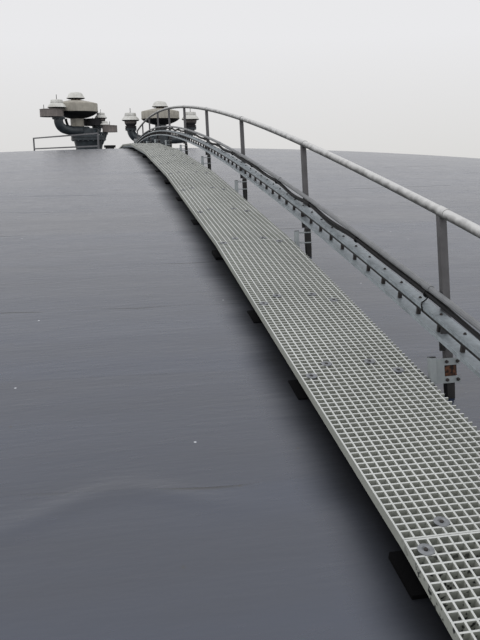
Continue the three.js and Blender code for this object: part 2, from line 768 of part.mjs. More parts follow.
// A low rectangular frame of square tube that stands before the left valve cluster.
function guardFrame() {
  const [near, far] = [new THREE.Vector2(-900, 2090), new THREE.Vector2(-2930, 7050)];
  const run = far.clone().sub(near);
  const [low, high] = [CROWN_HEIGHT + 100, CROWN_HEIGHT + 440];
  const tube = 20;
  const bar = (z) => {
    const geometry = new THREE.BoxGeometry(run.length(), 2 * tube, 2 * tube);
    geometry.rotateZ(run.angle());
    const middle = near.clone().addScaledVector(run, 0.5);
    geometry.translate(middle.x, middle.y, z);
    return solid(geometry);
  };
  const pieces = [bar(low), bar(high)];
  for (const end of [near, far]) {
    const geometry = new THREE.BoxGeometry(2 * tube, 2 * tube, high + tube - CROWN_HEIGHT + 500);
    geometry.rotateZ(run.angle());
    geometry.translate(end.x, end.y, (high + tube + CROWN_HEIGHT - 500) / 2);
    pieces.push(solid(geometry));
  }
  part("guard_frame", join(pieces).subtract(cutter), finish.steel);
}

tankFloor();
tankWall();
tankRoof();
walkwaySupports();
walkwayPanels();
handrail();
cableLadder();
cables();
junctionBoxes();
accessLadder();
ladderCage();
landing();
rightCluster();
leftCluster();
guardFrame();

export default group;
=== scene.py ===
# %% [markdown]
# # A domed gas tank, seen along its roof walkway
# The CAD model gives every solid its true size and place. This file loads it as a fixed frame, keeps the solids
# whose shape is right, and stands finer pieces in place of the rest.

# %% Load the frame
import json
import math

import bmesh
import bpy
from mathutils import Matrix, Vector

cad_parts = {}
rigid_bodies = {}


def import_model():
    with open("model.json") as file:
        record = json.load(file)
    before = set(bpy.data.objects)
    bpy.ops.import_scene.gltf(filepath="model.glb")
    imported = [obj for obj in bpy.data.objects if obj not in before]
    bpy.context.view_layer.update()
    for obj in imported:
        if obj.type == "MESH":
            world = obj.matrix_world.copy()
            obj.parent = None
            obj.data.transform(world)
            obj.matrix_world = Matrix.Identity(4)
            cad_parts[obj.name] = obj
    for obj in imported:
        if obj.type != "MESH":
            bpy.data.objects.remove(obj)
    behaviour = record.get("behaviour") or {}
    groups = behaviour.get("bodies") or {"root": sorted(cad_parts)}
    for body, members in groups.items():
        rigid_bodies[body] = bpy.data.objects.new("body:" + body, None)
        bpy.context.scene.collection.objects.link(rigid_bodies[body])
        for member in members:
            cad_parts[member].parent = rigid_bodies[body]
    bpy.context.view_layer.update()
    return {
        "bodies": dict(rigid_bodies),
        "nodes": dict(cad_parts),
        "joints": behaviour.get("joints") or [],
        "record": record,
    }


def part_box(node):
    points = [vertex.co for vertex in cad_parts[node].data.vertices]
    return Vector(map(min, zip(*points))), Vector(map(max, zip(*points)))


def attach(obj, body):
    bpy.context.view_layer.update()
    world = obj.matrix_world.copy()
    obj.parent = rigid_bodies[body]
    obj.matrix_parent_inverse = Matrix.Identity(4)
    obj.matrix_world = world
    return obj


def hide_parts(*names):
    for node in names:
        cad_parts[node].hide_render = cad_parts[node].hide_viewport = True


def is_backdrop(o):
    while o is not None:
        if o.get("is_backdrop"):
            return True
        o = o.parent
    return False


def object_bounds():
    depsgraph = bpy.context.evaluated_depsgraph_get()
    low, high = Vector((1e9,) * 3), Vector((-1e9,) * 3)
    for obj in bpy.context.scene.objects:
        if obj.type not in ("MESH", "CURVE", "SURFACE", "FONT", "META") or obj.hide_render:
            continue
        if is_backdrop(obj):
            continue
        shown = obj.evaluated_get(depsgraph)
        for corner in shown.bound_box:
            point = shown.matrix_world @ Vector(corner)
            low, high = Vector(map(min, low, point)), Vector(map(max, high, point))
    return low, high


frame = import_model()

# %% [markdown]
# The roof is a shallow piece of a sphere, so a place on it is given by how far it lies from the crown along the
# roof (its arc) and how high it stands off the surface (its lift). Small functions turn those into metres.

# %% Sizes of the roof and the walkway, in metres
TANK_RADIUS = 19.2
CROWN = 14.0
ROOF_RADIUS = 98.0
KNUCKLE = 1.2
SPHERE_Z = CROWN - ROOF_RADIUS
KNUCKLE_R = TANK_RADIUS - KNUCKLE
KNUCKLE_Z = SPHERE_Z + math.sqrt((ROOF_RADIUS - KNUCKLE) ** 2 - KNUCKLE_R**2)
TANGENT = math.asin(KNUCKLE_R / (ROOF_RADIUS - KNUCKLE))
DOME_ARC = ROOF_RADIUS * TANGENT
SHOULDER_ARC = KNUCKLE * (math.pi / 2 - TANGENT)
DECK_HALF = 0.3
DECK_TOP = 0.12
MESH = 0.0381
BAR = 0.0072
GRATING_DEPTH = 0.038
JOINTS = [-18.64] + [-17.4 + 3.66 * i for i in range(7)] + [5.8]
SUPPORTS = [-18.62 + 1.22 * k for k in range(21)]
POST_SHIFT = 0.1
POST_LEAN = 0.2
POSTS = [arc - POST_SHIFT for arc in SUPPORTS[::2]]
POST_X = 0.42
RAIL_LIFT = 0.802
RAIL_TAPER = 0.0026
LADDER_NEAR, LADDER_FAR = 0.338, 0.4006


def seat(arc, lift=0.0):
    """The frame that stands on the roof, its shoulder or the wall: X across, Y uphill, Z off the surface."""
    past = -arc - DOME_ARC
    if past <= 0:
        angle = arc / ROOF_RADIUS
        reach = ROOF_RADIUS + lift
        place = Matrix.Translation((0, reach * math.sin(angle), SPHERE_Z + reach * math.cos(angle)))
        return place @ Matrix.Rotation(-angle, 4, "X")
    angle = min(TANGENT + past / KNUCKLE, math.pi / 2)
    below = max(0.0, past - SHOULDER_ARC)
    reach = KNUCKLE + lift
    y = -KNUCKLE_R - reach * math.sin(angle)
    z = KNUCKLE_Z + reach * math.cos(angle) - below
    return Matrix.Translation((0, y, z)) @ Matrix.Rotation(angle, 4, "X")


def bay_length(start, end):
    return (seat(end, DECK_TOP).translation - seat(start, DECK_TOP).translation).length


def deck(arc):
    """The frame that lies on top of the straight grating panel which covers an arc."""
    bay = max(i for i in range(len(JOINTS) - 1) if arc >= JOINTS[i] or i == 0)
    start, end = (seat(JOINTS[i], DECK_TOP).translation for i in (bay, bay + 1))
    share = (arc - JOINTS[bay]) / (JOINTS[bay + 1] - JOINTS[bay])
    rise = math.atan2(end.z - start.z, end.y - start.y)
    return Matrix.Translation(start.lerp(end, share)) @ Matrix.Rotation(rise, 4, "X")


def at(frame, x, y, z=0.0):
    """A place inside a frame."""
    return frame @ Matrix.Translation((x, y, z))


print("deck at its first joint", [round(v, 3) for v in deck(JOINTS[1]).translation])

# %% [markdown]
# The view is that of someone beside the head of the ladder who looks up the walkway. Its place, turn and focal
# length come from the grating's known mesh and the handrail posts, so the camera is set from numbers and not by
# eye. It comes first because every later choice is judged through it.

# %% Camera
bpy.ops.object.select_all(action="DESELECT")
bpy.ops.object.camera_add(location=(0, 0, 0))
camera = bpy.context.object
camera.name = "eye_at_the_ladder_head"
right = Vector((0.98055, -0.19577, -0.01378))
up = Vector((0.05521, 0.20777, 0.97662))
ahead = Vector((0.18833, 0.95839, -0.21453))
turn = Matrix((right, up, -ahead)).transposed().to_4x4()
camera.matrix_world = Matrix.Translation((-1.2378, -19.41039, 13.80298)) @ turn
camera.data.sensor_width = 36.0
camera.data.lens = 42.23
camera.data.clip_start = 0.05
camera.data.clip_end = 600.0
bpy.context.scene.camera = camera
print("camera lens", camera.data.lens, "mm")

# %% [markdown]
# Colours are sRGB hex values, as a paint chart gives them, and are turned to linear values once, here. One
# function adds a node with its settings and links, and each finish is then a short list of nodes.

# %% Colour and node helpers
def linear(code):
    """Turns an sRGB hex value to a linear colour."""
    parts = [int(code[i : i + 2], 16) / 255 for i in (0, 2, 4)]
    return (*[c / 12.92 if c <= 0.04045 else ((c + 0.055) / 1.055) ** 2.4 for c in parts], 1.0)


def feed(node, inputs):
    """Gives a node's inputs, by name or number, a value, a hex colour or a socket to link from."""
    for name, value in inputs.items():
        if isinstance(value, bpy.types.NodeSocket):
            node.id_data.links.new(value, node.inputs[name])
        else:
            node.inputs[name].default_value = linear(value) if isinstance(value, str) else value


def adder(tree):
    """Makes the function that adds a node to a tree, with its settings and inputs, and gives back an output."""

    def add(kind, inputs=None, out=0, **settings):
        if kind == "Mix":
            settings["data_type"], out = "RGBA", 2
        node = tree.nodes.new("ShaderNode" + kind)
        for name, value in settings.items():
            setattr(node, name, value)
        feed(node, inputs or {})
        return node.outputs[out]

    return add


# A Mix takes its share as input 0 and its two colours as 6 and 7. A MapRange takes its value as 0, the range that
# it comes from as 1 and 2, and the range that it goes to as 3 and 4.
def new_finish(name, constants):
    """A material, the function that adds its nodes, its shader and its object coordinates."""
    made = bpy.data.materials.new(name)
    made.use_nodes = True
    shader = made.node_tree.nodes["Principled BSDF"]
    feed(shader, constants)
    add = adder(made.node_tree)
    return made, add, shader, add("TexCoord", out="Object")


def mottled(name, dark, pale, scale, detail, constants, spread=(0, 1), bump=None):
    """A finish that drifts between two tones in soft clouds, 1 / scale metres wide, which may also lift its skin."""
    made, add, shader, position = new_finish(name, constants)
    cloud = add("TexNoise", {"Vector": position, "Scale": scale, "Detail": detail})
    share = add("MapRange", {0: cloud, 1: spread[0], 2: spread[1]})
    feed(shader, {"Base Color": add("Mix", {0: share, 6: dark, 7: pale})})
    if bump:
        height = {"Strength": bump[0], "Distance": bump[1], "Height": cloud}
        feed(shader, {"Normal": add("Bump", height)})
    return made


# %% [markdown]
# An overcast sky lights the roof from everywhere above. A plain pale world gives that light and the backdrop, and
# one very large soft lamp overhead keeps a faint sense of up and down on round things. The colours are shown
# without a film curve, so the finishes can be matched to the real ones.

# %% Backdrop, light and floor
scene = bpy.context.scene
scene.view_settings.view_transform = "Standard"
sky = bpy.data.worlds.new("overcast_sky")
sky.use_nodes = True
scene.world = sky
add = adder(sky.node_tree)
height = add("SeparateXYZ", {0: add("TexCoord", out="Generated")}, "Z")
rise = add("MapRange", {0: height, 1: -0.02, 2: 0.14})
tone = add("Mix", {0: rise, 6: "dbdad8", 7: "e9e9eb"})
feed(sky.node_tree.nodes["Background"], {"Color": tone, "Strength": 1.0})

bpy.ops.object.light_add(type="AREA", location=(-20, -30, 60))
lamp = bpy.context.object
lamp.name = "soft_overhead_lamp"
lamp.data.shape = "DISK"
lamp.data.size = 60.0
lamp.data.energy = 9000.0
lamp.rotation_euler = Vector((-20, -30, 46)).to_track_quat("Z", "Y").to_euler()

# Smooth pale render: matt, and all but plain.
ground = mottled("pale_studio_floor", "d3d3d0", "dcdcd9", 0.2, 3.0, {"Roughness": 0.9})
bpy.ops.mesh.primitive_circle_add(vertices=96, radius=120, fill_type="NGON", location=(0, 0, -0.002))
floor = bpy.context.object
floor.name = "studio_floor"
floor.data.materials.append(ground)
floor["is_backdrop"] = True
print("sky, lamp and floor are set")

# %% [markdown]
# ## How the pieces are made
# A piece starts from a primitive at its size and place and is shaped in edit mode. An operator acts on all that is
# selected, so everything is deselected first. A finished piece sits at the origin with its place in its mesh, as
# the CAD solids do, and rides on the tank.

# %% Modelling helpers
def take(obj):
    """Selects one object alone."""
    bpy.ops.object.select_all(action="DESELECT")
    bpy.context.view_layer.objects.active = obj
    obj.select_set(True)
    return obj


def editing(obj, kind="FACE"):
    """Opens edit mode on an object with everything selected."""
    take(obj)
    bpy.ops.object.mode_set(mode="EDIT")
    bpy.ops.mesh.select_mode(type=kind)
    bpy.ops.mesh.select_all(action="SELECT")


def pick(obj, test, kind="faces"):
    """In edit mode, selects only the faces, edges or vertices that pass a test."""
    bpy.ops.mesh.select_mode(type={"faces": "FACE", "edges": "EDGE", "verts": "VERT"}[kind])
    bpy.ops.mesh.select_all(action="DESELECT")
    mesh = bmesh.from_edit_mesh(obj.data)
    for item in getattr(mesh, kind):
        if test(item):
            item.select_set(True)
    mesh.select_flush_mode()
    bmesh.update_edit_mesh(obj.data)


def done(obj):
    """Leaves edit mode."""
    bpy.ops.object.mode_set(mode="OBJECT")
    return obj


def outwards(obj, weld=0.0):
    """Merges doubles if asked to, turns every face outwards and leaves edit mode."""
    bpy.ops.mesh.select_all(action="SELECT")
    if weld:
        bpy.ops.mesh.remove_doubles(threshold=weld)
    bpy.ops.mesh.normals_make_consistent(inside=False)
    return done(obj)


def extrude(push=(0, 0, 0)):
    bpy.ops.mesh.extrude_region_move(TRANSFORM_OT_translate={"value": push})


def cut(spot, normal, **more):
    """In edit mode, cuts the whole mesh along a plane."""
    bpy.ops.mesh.select_all(action="SELECT")
    bpy.ops.mesh.bisect(plane_co=spot, plane_no=normal, **more)


def fresh(primitive, scale=None, **settings):
    """Deselects everything, adds a primitive at its size and place, and bakes both into its mesh."""
    bpy.ops.object.select_all(action="DESELECT")
    primitive(**settings)
    made = bpy.context.object
    made.scale = scale or made.scale
    bpy.ops.object.transform_apply(location=True, rotation=True, scale=True)
    return made


def block(low, high, bevel=0.0):
    """A block between two corners, with its edges eased."""
    low, high = Vector(low), Vector(high)
    made = fresh(bpy.ops.mesh.primitive_cube_add, high - low, size=1, location=(low + high) / 2)
    if bevel:
        editing(made, "EDGE")
        bpy.ops.mesh.bevel(offset=bevel, segments=2, profile=0.6)
        done(made)
    return made


def turned(profile, sides=32):
    """A round form: a disc that is extruded upwards and resized to each radius and height in turn."""
    radius, height = profile[0]
    made = fresh(bpy.ops.mesh.primitive_circle_add, vertices=sides, radius=radius, fill_type="NGON",
                 location=(0, 0, height))
    editing(made)
    for wide, high in profile[1:]:
        extrude((0, 0, high - height))
        share = wide / radius
        bpy.ops.transform.resize(value=(share, share, 1), center_override=(0, 0, high))
        radius, height = wide, high
    return outwards(made, 1e-5)


def move(obj, place):
    """Bakes a place into a mesh."""
    obj.data.transform(place)
    return obj


def repeat(model, places):
    """Copies of one modelled thing, each with its own mesh, joined as one object."""
    model, copies = together(model), []
    for place in places:
        copy = model.copy()
        copy.data = model.data.copy()
        bpy.context.scene.collection.objects.link(copy)
        copies.append(move(copy, place))
    bpy.data.objects.remove(model)
    return together(copies)


def together(objects):
    """Joins a list of objects as one. A single object comes back as it is."""
    if not isinstance(objects, list):
        return objects
    take(objects[0])
    for each in objects:
        each.select_set(True)
    if len(objects) > 1:
        bpy.ops.object.join()
    return bpy.context.object


def finished(obj, name, finish, replaces=(), angle=35):
    """Names a piece, smooths its round faces, paints it and lets it ride on the tank."""
    obj = take(together(obj))
    bpy.ops.object.transform_apply(location=True, rotation=True, scale=True)
    bpy.ops.object.shade_smooth_by_angle(angle=math.radians(angle))
    obj.name = obj.data.name = name
    obj.data.materials.clear()
    obj.data.materials.append(finish)
    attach(obj, "root")
    if replaces:
        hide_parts(*replaces)
    obj.data.calc_loop_triangles()
    print(name, len(obj.data.loop_triangles), "triangles")


# %% [markdown]
# ## Roof membrane
# Dark PVC sheet with a satin calendered face, welded in rings about a metre wide, each lapped over the one below.
# Seen from above it is dark, and towards the horizon it mirrors the sky and turns pale. Its laps, low ripples and
# one fold by the ladder head are a few millimetres high, so bump draws them.

# %% Membrane laps and ripples
def height_wave(add, source, scale, detail, amount):
    noise = add("TexNoise", {"Vector": source, "Scale": scale, "Detail": detail})
    return add("Math", {0: noise, 1: amount}, operation="MULTIPLY")


membrane, add, shader, position = new_finish("calendered_pvc_membrane", {"Specular IOR Level": 1.0, "IOR": 1.62})
x, y = (add("SeparateXYZ", {0: position}, axis) for axis in "XY")
flat = add("VectorMath", {0: position, 1: (1, 1, 0)}, operation="MULTIPLY")
radius = add("VectorMath", {0: flat}, "Value", operation="LENGTH")
ring = add("Math", {0: radius, 1: height_wave(add, flat, 0.9, 2.0, 0.16)}, operation="ADD")
sheet = add("Math", {0: ring, 1: 0.255}, operation="SUBTRACT")
sheet = add("Math", {0: sheet, 1: 0.975}, operation="DIVIDE")
lap = add("Math", {0: sheet}, operation="FRACT")
along = add("Mapping", {"Vector": flat, "Rotation": (0, 0, 0.12), "Scale": (0.35, 1.6, 1)})
streaks = add("Mapping", {"Vector": flat, "Scale": (5, 34, 1)})
grain = add("Mapping", {"Vector": flat, "Scale": (22, 60, 1)})
ripple = height_wave(add, along, 1.1, 2.5, 0.012)
heights = add("Math", {0: lap, 1: 0.0016, 2: ripple}, operation="MULTIPLY_ADD")
for wave in (height_wave(add, streaks, 1.0, 5.0, 0.0018), height_wave(add, grain, 1.0, 3.0, 0.0009)):
    heights = add("Math", {0: heights, 1: wave}, operation="ADD")

# %% The fold by the ladder head
# A ridge 8 mm high along a short sine beside the walkway.
turn = 2 * math.pi
swing = add("Math", {0: x, 1: turn, 2: turn * 1.43}, operation="MULTIPLY_ADD")
swing = add("Math", {0: swing}, operation="SINE")
path = add("Math", {0: swing, 1: 0.085, 2: -16.79}, operation="MULTIPLY_ADD")
away = add("Math", {0: y, 1: path}, operation="SUBTRACT")
away = add("Math", {0: away, 1: 1 / 0.07}, operation="MULTIPLY")
away = add("Math", {0: away, 1: 2.0}, operation="POWER")
fold = add("Math", {0: away, 1: -1.0}, operation="MULTIPLY")
fold = add("Math", {0: fold}, operation="EXPONENT")
for start, end in ((-2.05, -1.35), (-0.5, -1.15)):
    fade = add("MapRange", {0: x, 1: start, 2: end}, interpolation_type="SMOOTHSTEP")
    fold = add("Math", {0: fold, 1: fade}, operation="MULTIPLY")
heights = add("Math", {0: fold, 1: 0.008, 2: heights}, operation="MULTIPLY_ADD")
feed(shader, {"Normal": add("Bump", {"Strength": 1.0, "Distance": 1.0, "Height": heights})})

# %% Membrane tone and dirt
# Each sheet differs a little, and rain has left soft clouds. Dirt is caught in thin broken lines along the laps,
# and dark and pale specks a few millimetres wide lie about.
number = add("Math", {0: sheet}, operation="FLOOR")
chance = add("TexWhiteNoise", {"W": number}, noise_dimensions="1D")
cloud = add("TexNoise", {"Vector": along, "Scale": 1.3, "Detail": 5.0})
share = add("Math", {0: chance, 1: 0.25, 2: cloud}, operation="MULTIPLY_ADD")
share = add("MapRange", {0: share, 1: 0.35, 2: 0.85})
tone = add("Mix", {0: share, 6: "121c2f", 7: "1c2940"})
broken = add("TexNoise", {"Vector": flat, "Scale": 0.8, "Detail": 2.0})
broken = add("MapRange", {0: broken, 1: 0.56, 2: 0.62})
caught = add("MapRange", {0: lap, 1: 0.022, 2: 0.0})
caught = add("Math", {0: caught, 1: broken}, operation="MULTIPLY")
tone = add("Mix", {0: caught, 6: tone, 7: "0b0c0f"})
for scale, wide, narrow, colour in ((1.6, 0.014, 0.006, "17181c"), (0.9, 0.007, 0.003, "b9bcc2")):
    cells = add("TexVoronoi", {"Vector": flat, "Scale": scale}, voronoi_dimensions="2D")
    speck = add("MapRange", {0: cells, 1: wide, 2: narrow})
    tone = add("Mix", {0: speck, 6: tone, 7: colour})

# %% Membrane shine
# Painted shade of the walkway, with damp dirt, lies along its left edge: it darkens the sheet and takes its shine.
walkway_shade_and_damp = add("Math", {0: cloud, 1: 0.16, 2: x}, operation="MULTIPLY_ADD")
walkway_shade_and_damp = add("MapRange", {0: walkway_shade_and_damp, 1: -0.455, 2: -0.195}, interpolation_type="SMOOTHSTEP")
for place, start, end in ((x, 0.1, -0.1), (y, 6.0, 5.6)):
    side = add("MapRange", {0: place, 1: start, 2: end})
    walkway_shade_and_damp = add("Math", {0: walkway_shade_and_damp, 1: side}, operation="MULTIPLY")
satin = add("MapRange", {0: cloud, 1: 0.3, 2: 0.7, 3: 0.11, 4: 0.15})
rub = add("TexNoise", {"Vector": streaks, "Scale": 1.0, "Detail": 5.0})
for mask, amount in ((rub, 0.22), (caught, 0.35), (walkway_shade_and_damp, 0.45)):
    satin = add("Math", {0: mask, 1: amount, 2: satin}, operation="MULTIPLY_ADD")
feed(shader, {"Base Color": add("Mix", {0: walkway_shade_and_damp, 6: tone, 7: "14161b"}),
              "Roughness": satin, "Specular IOR Level": add("MapRange", {0: walkway_shade_and_damp, 3: 1.0, 4: 0.15})})
print("membrane finish has", len(membrane.node_tree.nodes), "nodes")

# %% [markdown]
# The skin is one round shell. A flat disc could be pushed up into a dome, but turning it ring by ring, from the
# foot of the shoulder in to the crown, gives the exact sphere.

# %% Membrane shell
profile = [(KNUCKLE_R + KNUCKLE - 0.02, KNUCKLE_Z - 0.001)]
for step in range(0, 9):
    angle = math.pi / 2 + (TANGENT - math.pi / 2) * step / 8
    profile.append((KNUCKLE_R + KNUCKLE * math.sin(angle), KNUCKLE_Z + KNUCKLE * math.cos(angle)))
for step in range(1, 40):
    reach = ROOF_RADIUS * math.sin(TANGENT) * (1 - step / 39.3)
    profile.append((reach, SPHERE_Z + math.sqrt(ROOF_RADIUS**2 - reach**2)))
profile.append((0.002, CROWN))
skin = turned(profile, 180)
finished(skin, "roof_membrane", membrane,
         [f"roof_gore_{i}" for i in range(1, 7)] + ["roof_crown"], angle=40)

# %% [markdown]
# ## Grating
# The walkway is moulded glass-fibre grating with a 38 mm square mesh, 38 mm deep: bright on top, where feet and
# rain keep it clean and painted light falls, and darker on its walls with algae, dust and painted shade. Boolean
# cuts would be slow and heavy. Here a flat grid is inset face by face, the middles are deleted, and Solidify gives
# the bars their depth: twelve faces for each mesh.

# %% Grating finish
grp, add, shader, position = new_finish("moulded_glass_fibre_grating", {"Roughness": 0.55})
facing = add("SeparateXYZ", {0: add("NewGeometry", out="Normal")}, "Z")
top = add("MapRange", {0: facing, 1: 0.3, 2: 0.9})
grime = add("TexNoise", {"Vector": position, "Scale": 1.7, "Detail": 6.0})
grit = add("TexNoise", {"Vector": position, "Scale": 170.0, "Detail": 2.0})
# Faces that look up take the clean pale tone and the walls the darker one: dirt on the walls, with painted light on top
# and painted shade below.
clean_and_lit_top = add("Mix", {0: grime, 6: "b3b6b3", 7: "d6d8d6"})
wall = add("Mix", {0: grime, 6: "8e9189", 7: "a8aba3"})
tone = add("Mix", {0: top, 6: wall, 7: clean_and_lit_top})
# Black scuffs on the closed border by the ladder head, a few centimetres apart.
scuff = add("TexNoise", {"Vector": position, "Scale": 55.0, "Detail": 3.0})
scuff = add("MapRange", {0: scuff, 1: 0.57, 2: 0.62})
where = add("SeparateXYZ", {0: position}, "Y")
for place, start, end in ((where, -17.3, -17.45), (facing, 0.5, 0.3)):
    side = add("MapRange", {0: place, 1: start, 2: end})
    scuff = add("Math", {0: scuff, 1: side}, operation="MULTIPLY")
feed(shader, {"Base Color": add("Mix", {0: scuff, 6: tone, 7: "1d1f20"}),
              "Normal": add("Bump", {"Strength": 0.6, "Distance": 0.0006, "Height": grit})})
print("grating finish has", len(grp.node_tree.nodes), "nodes")

# %% Grating panels
def grating_panel(length, width):
    """A panel that starts at the origin and runs along +Y, its top at zero and its cut side at +X."""
    columns, rows = math.ceil(width / MESH), round(length / MESH)
    panel = fresh(bpy.ops.mesh.primitive_grid_add, x_subdivisions=columns, y_subdivisions=rows, size=1)
    move(panel, Matrix.Translation((0.5, 0.5, 0)))
    move(panel, Matrix.Diagonal((columns * MESH, length, 1, 1)))
    editing(panel)
    bpy.ops.mesh.inset(thickness=BAR / 2, use_individual=True)
    bpy.ops.mesh.delete(type="FACE")
    edge = BAR / 2
    for test, push in ((lambda v: v.co.x < 1e-5, (-edge, 0, 0)),
                       (lambda v: v.co.y < 1e-5, (0, -edge, 0)),
                       (lambda v: v.co.y > length - 1e-5, (0, edge, 0))):
        pick(panel, test, "verts")
        bpy.ops.transform.translate(value=push)
    cut((width - edge, 0, 0), (1, 0, 0), clear_outer=True)
    done(panel)
    bpy.ops.object.modifier_add(type="SOLIDIFY")
    panel.modifiers[0].thickness = GRATING_DEPTH
    panel.modifiers[0].offset = -1.0
    bpy.ops.object.modifier_apply(modifier=panel.modifiers[0].name)
    return panel


for number, (start, end) in enumerate(zip(JOINTS, JOINTS[1:]), 1):
    panel = grating_panel(bay_length(start, end) - 0.002 - BAR, 2 * DECK_HALF)
    move(panel, at(deck(start), BAR / 2 - DECK_HALF, 0.001 + BAR / 2))
    finished(panel, f"grating_panel_{number}", grp, [f"walkway_panel_{number}"], angle=20)

# %% [markdown]
# ## Clips and supports
# Round stainless clips bolt the panels down in staggered pairs over each cross bearer. A clip is a disc, turned
# from its rim in to a recess, with a small hexagon head sunk in it. There are eighty, so one of few faces is
# modelled and copied. Under the panels lie rubber pads with square steel bearers across them, and two stringers
# run along between. All are straight bars, so they are blocks with eased edges.

# %% Steel and rubber finishes
# Steel dipped in molten zinc: dull grey crystals about 14 mm wide, in soft clouds.
galvanised, add, shader, position = new_finish("hot_dip_galvanised_steel", {"Metallic": 0.6})
flakes = add("TexVoronoi", {"Vector": position, "Scale": 70.0}, "Color")
flakes = add("SeparateXYZ", {0: flakes}, "X")
cloud = add("TexNoise", {"Vector": position, "Scale": 9.0, "Detail": 4.0})
share = add("Math", {0: flakes, 1: 0.35, 2: cloud}, operation="MULTIPLY_ADD")
share = add("MapRange", {0: share, 1: 0.35, 2: 0.9})
feed(shader, {"Base Color": add("Mix", {0: share, 6: "8a9297", 7: "acb4b9"}),
              "Roughness": add("MapRange", {0: share, 3: 0.42, 4: 0.6})})
# Pressed stainless steel that weather has dulled: plain grey, with faint clouds 17 mm wide.
stainless = mottled("dulled_stainless_steel", "74777b", "9c9fa2", 60.0, 3.0, {"Metallic": 0.6, "Roughness": 0.5})
# Turned steel whose plating is gone: near black, with brown blotches 11 mm wide.
rusted = mottled("rusted_fastener_steel", "26272b", "4a4440", 90.0, 4.0, {"Metallic": 0.3, "Roughness": 0.75})
# Moulded EPDM rubber: dead matt and black, with a grain of 8 mm.
rubber = mottled("black_epdm_rubber", "030304", "08080a", 120.0, 3.0, {"Roughness": 0.95, "Specular IOR Level": 0.1},
                 bump=(0.5, 0.001))
print("steel and rubber finishes made")

# %% Panel clips
shifts = {2: 0.065, 3: -0.14}
bearer_arcs = [arc + shifts.get(k, 0.0) for k, arc in enumerate(SUPPORTS)]
clip_spots = [(-0.247, -0.055), (-0.135, 0.067), (0.087, 0.062), (0.19, -0.058)]
spots = [at(deck(arc + dy), x, 0) for arc in bearer_arcs[1:] for x, dy in clip_spots]
disc = turned([(0.026, -0.002), (0.0275, 0.003), (0.014, 0.005), (0.0105, 0.0015), (0.010, 0.001)], 24)
finished(repeat(disc, spots), "clip_discs", stainless)
head = turned([(0.0075, 0.0), (0.0078, 0.005), (0.0066, 0.0066)], 6)
finished(repeat(head, spots), "clip_bolts", rusted)

# %% Pads, bearers and stringers
BEARER_END = 0.28


def bearer_bar():
    """A square tube whose two ends are set in a little, as a cut tube's are."""
    bearer = block((-0.24, -0.03, -0.099), (BEARER_END, 0.03, -0.0405), 0.003)
    editing(bearer)
    pick(bearer, lambda f: abs(f.normal.x) > 0.9)
    bpy.ops.mesh.inset(thickness=0.004, use_individual=True)
    extrude()
    bpy.ops.transform.resize(value=(0.8, 1, 1), center_override=((BEARER_END - 0.24) / 2, 0, -0.07))
    return done(bearer)


# Two of the pads in view don't lie quite under their bearers.
pad_slips = {1: -0.042, 2: 0.015}
pads, bearers, outriggers = [], [], []
for k, arc in enumerate(bearer_arcs):
    slip = pad_slips.get(k, 0.0)
    pads.append(move(block((-0.315, slip - 0.1, -0.15), (BEARER_END, slip + 0.1, -0.098), 0.003), deck(arc)))
    bearers.append(move(bearer_bar(), deck(arc)))
    if k % 2 == 0:
        foot = SUPPORTS[k] - arc - POST_SHIFT
        outrigger = block((BEARER_END - 0.02, foot - 0.01, -0.075), (0.337, 0.02, -0.042), 0.003)
        outriggers.append(move(outrigger, deck(arc)))
finished(pads, "rubber_pads", rubber, replaces=["walkway_frame_1", "walkway_frame_2", "walkway_frame_3"])
finished(bearers, "cross_bearers", galvanised)
# The steel arms out to the posts lie under the deck's edge and take the black rubber finish: painted shade.
finished(outriggers, "shaded_post_outriggers", rubber)
bars = []
for start, end in zip(JOINTS, JOINTS[1:]):
    for x in (-0.27, 0.24):
        high = (x + 0.03, bay_length(start, end) - 0.005, -0.0385)
        bars.append(move(block((x, 0.005, -0.075), high, 0.002), deck(start)))
finished(bars, "stringers", galvanised)

# %% [markdown]
# ## Handrail
# One round pipe follows the dome and comes a little nearer to it towards the crown. A disc swept about a point
# near the middle of the roof's own sphere gives that curve, which a chain of straight lengths wouldn't. The
# square posts under it lean towards the crown.

# %% Sweeps along the roof
def follow(section, start, end, step=0.25, centre=(0, 0, SPHERE_Z)):
    """Sweeps a section that stands over the crown along the dome, from one arc to another."""
    middle = Matrix.Translation(centre)
    move(section, middle @ Matrix.Rotation(-start / ROOF_RADIUS, 4, "X") @ middle.inverted())
    editing(section)
    bpy.ops.mesh.spin(steps=max(1, round(abs(end - start) / step)), angle=(end - start) / ROOF_RADIUS,
                      center=centre, axis=(1, 0, 0))
    return outwards(section, 1e-6)


def round_section(x, height, radius, sides=20, y=0.0):
    """A disc that stands across the walkway over the crown."""
    return fresh(bpy.ops.mesh.primitive_circle_add, vertices=sides, radius=radius, fill_type="NGON",
                 location=(x, y, height), rotation=(math.pi / 2, 0, 0))


def strip_section(near, far, low, high):
    """A rectangle that stands across the walkway over the crown."""
    return fresh(bpy.ops.mesh.primitive_plane_add, (far - near, high - low, 1), size=1,
                 location=((near + far) / 2, 0, (low + high) / 2), rotation=(math.pi / 2, 0, 0))


# %% Handrail finishes
def weathered(name, dark, pale, metallic, rough, lump):
    """An old coat on steel: blotches 60 mm wide, a lumpy skin, and painted light: paler on faces that look up, darker
    below.
    """
    made, add, shader, position = new_finish(name, {"Metallic": metallic, "Roughness": rough})
    blotch = add("TexNoise", {"Vector": position, "Scale": 16.0, "Detail": 6.0})
    facing = add("SeparateXYZ", {0: add("NewGeometry", out="Normal")}, "Z")
    # Faces that look up turn pale and those that look down dark: painted light and shade.
    share = add("Math", {0: facing, 1: 0.6, 2: blotch}, operation="MULTIPLY_ADD")
    share = add("MapRange", {0: share, 1: 0.3, 2: 1.0})
    feed(shader, {"Base Color": add("Mix", {0: share, 6: dark, 7: pale}),
                  "Normal": add("Bump", {"Strength": 1.0, "Distance": lump, "Height": blotch})})
    return made
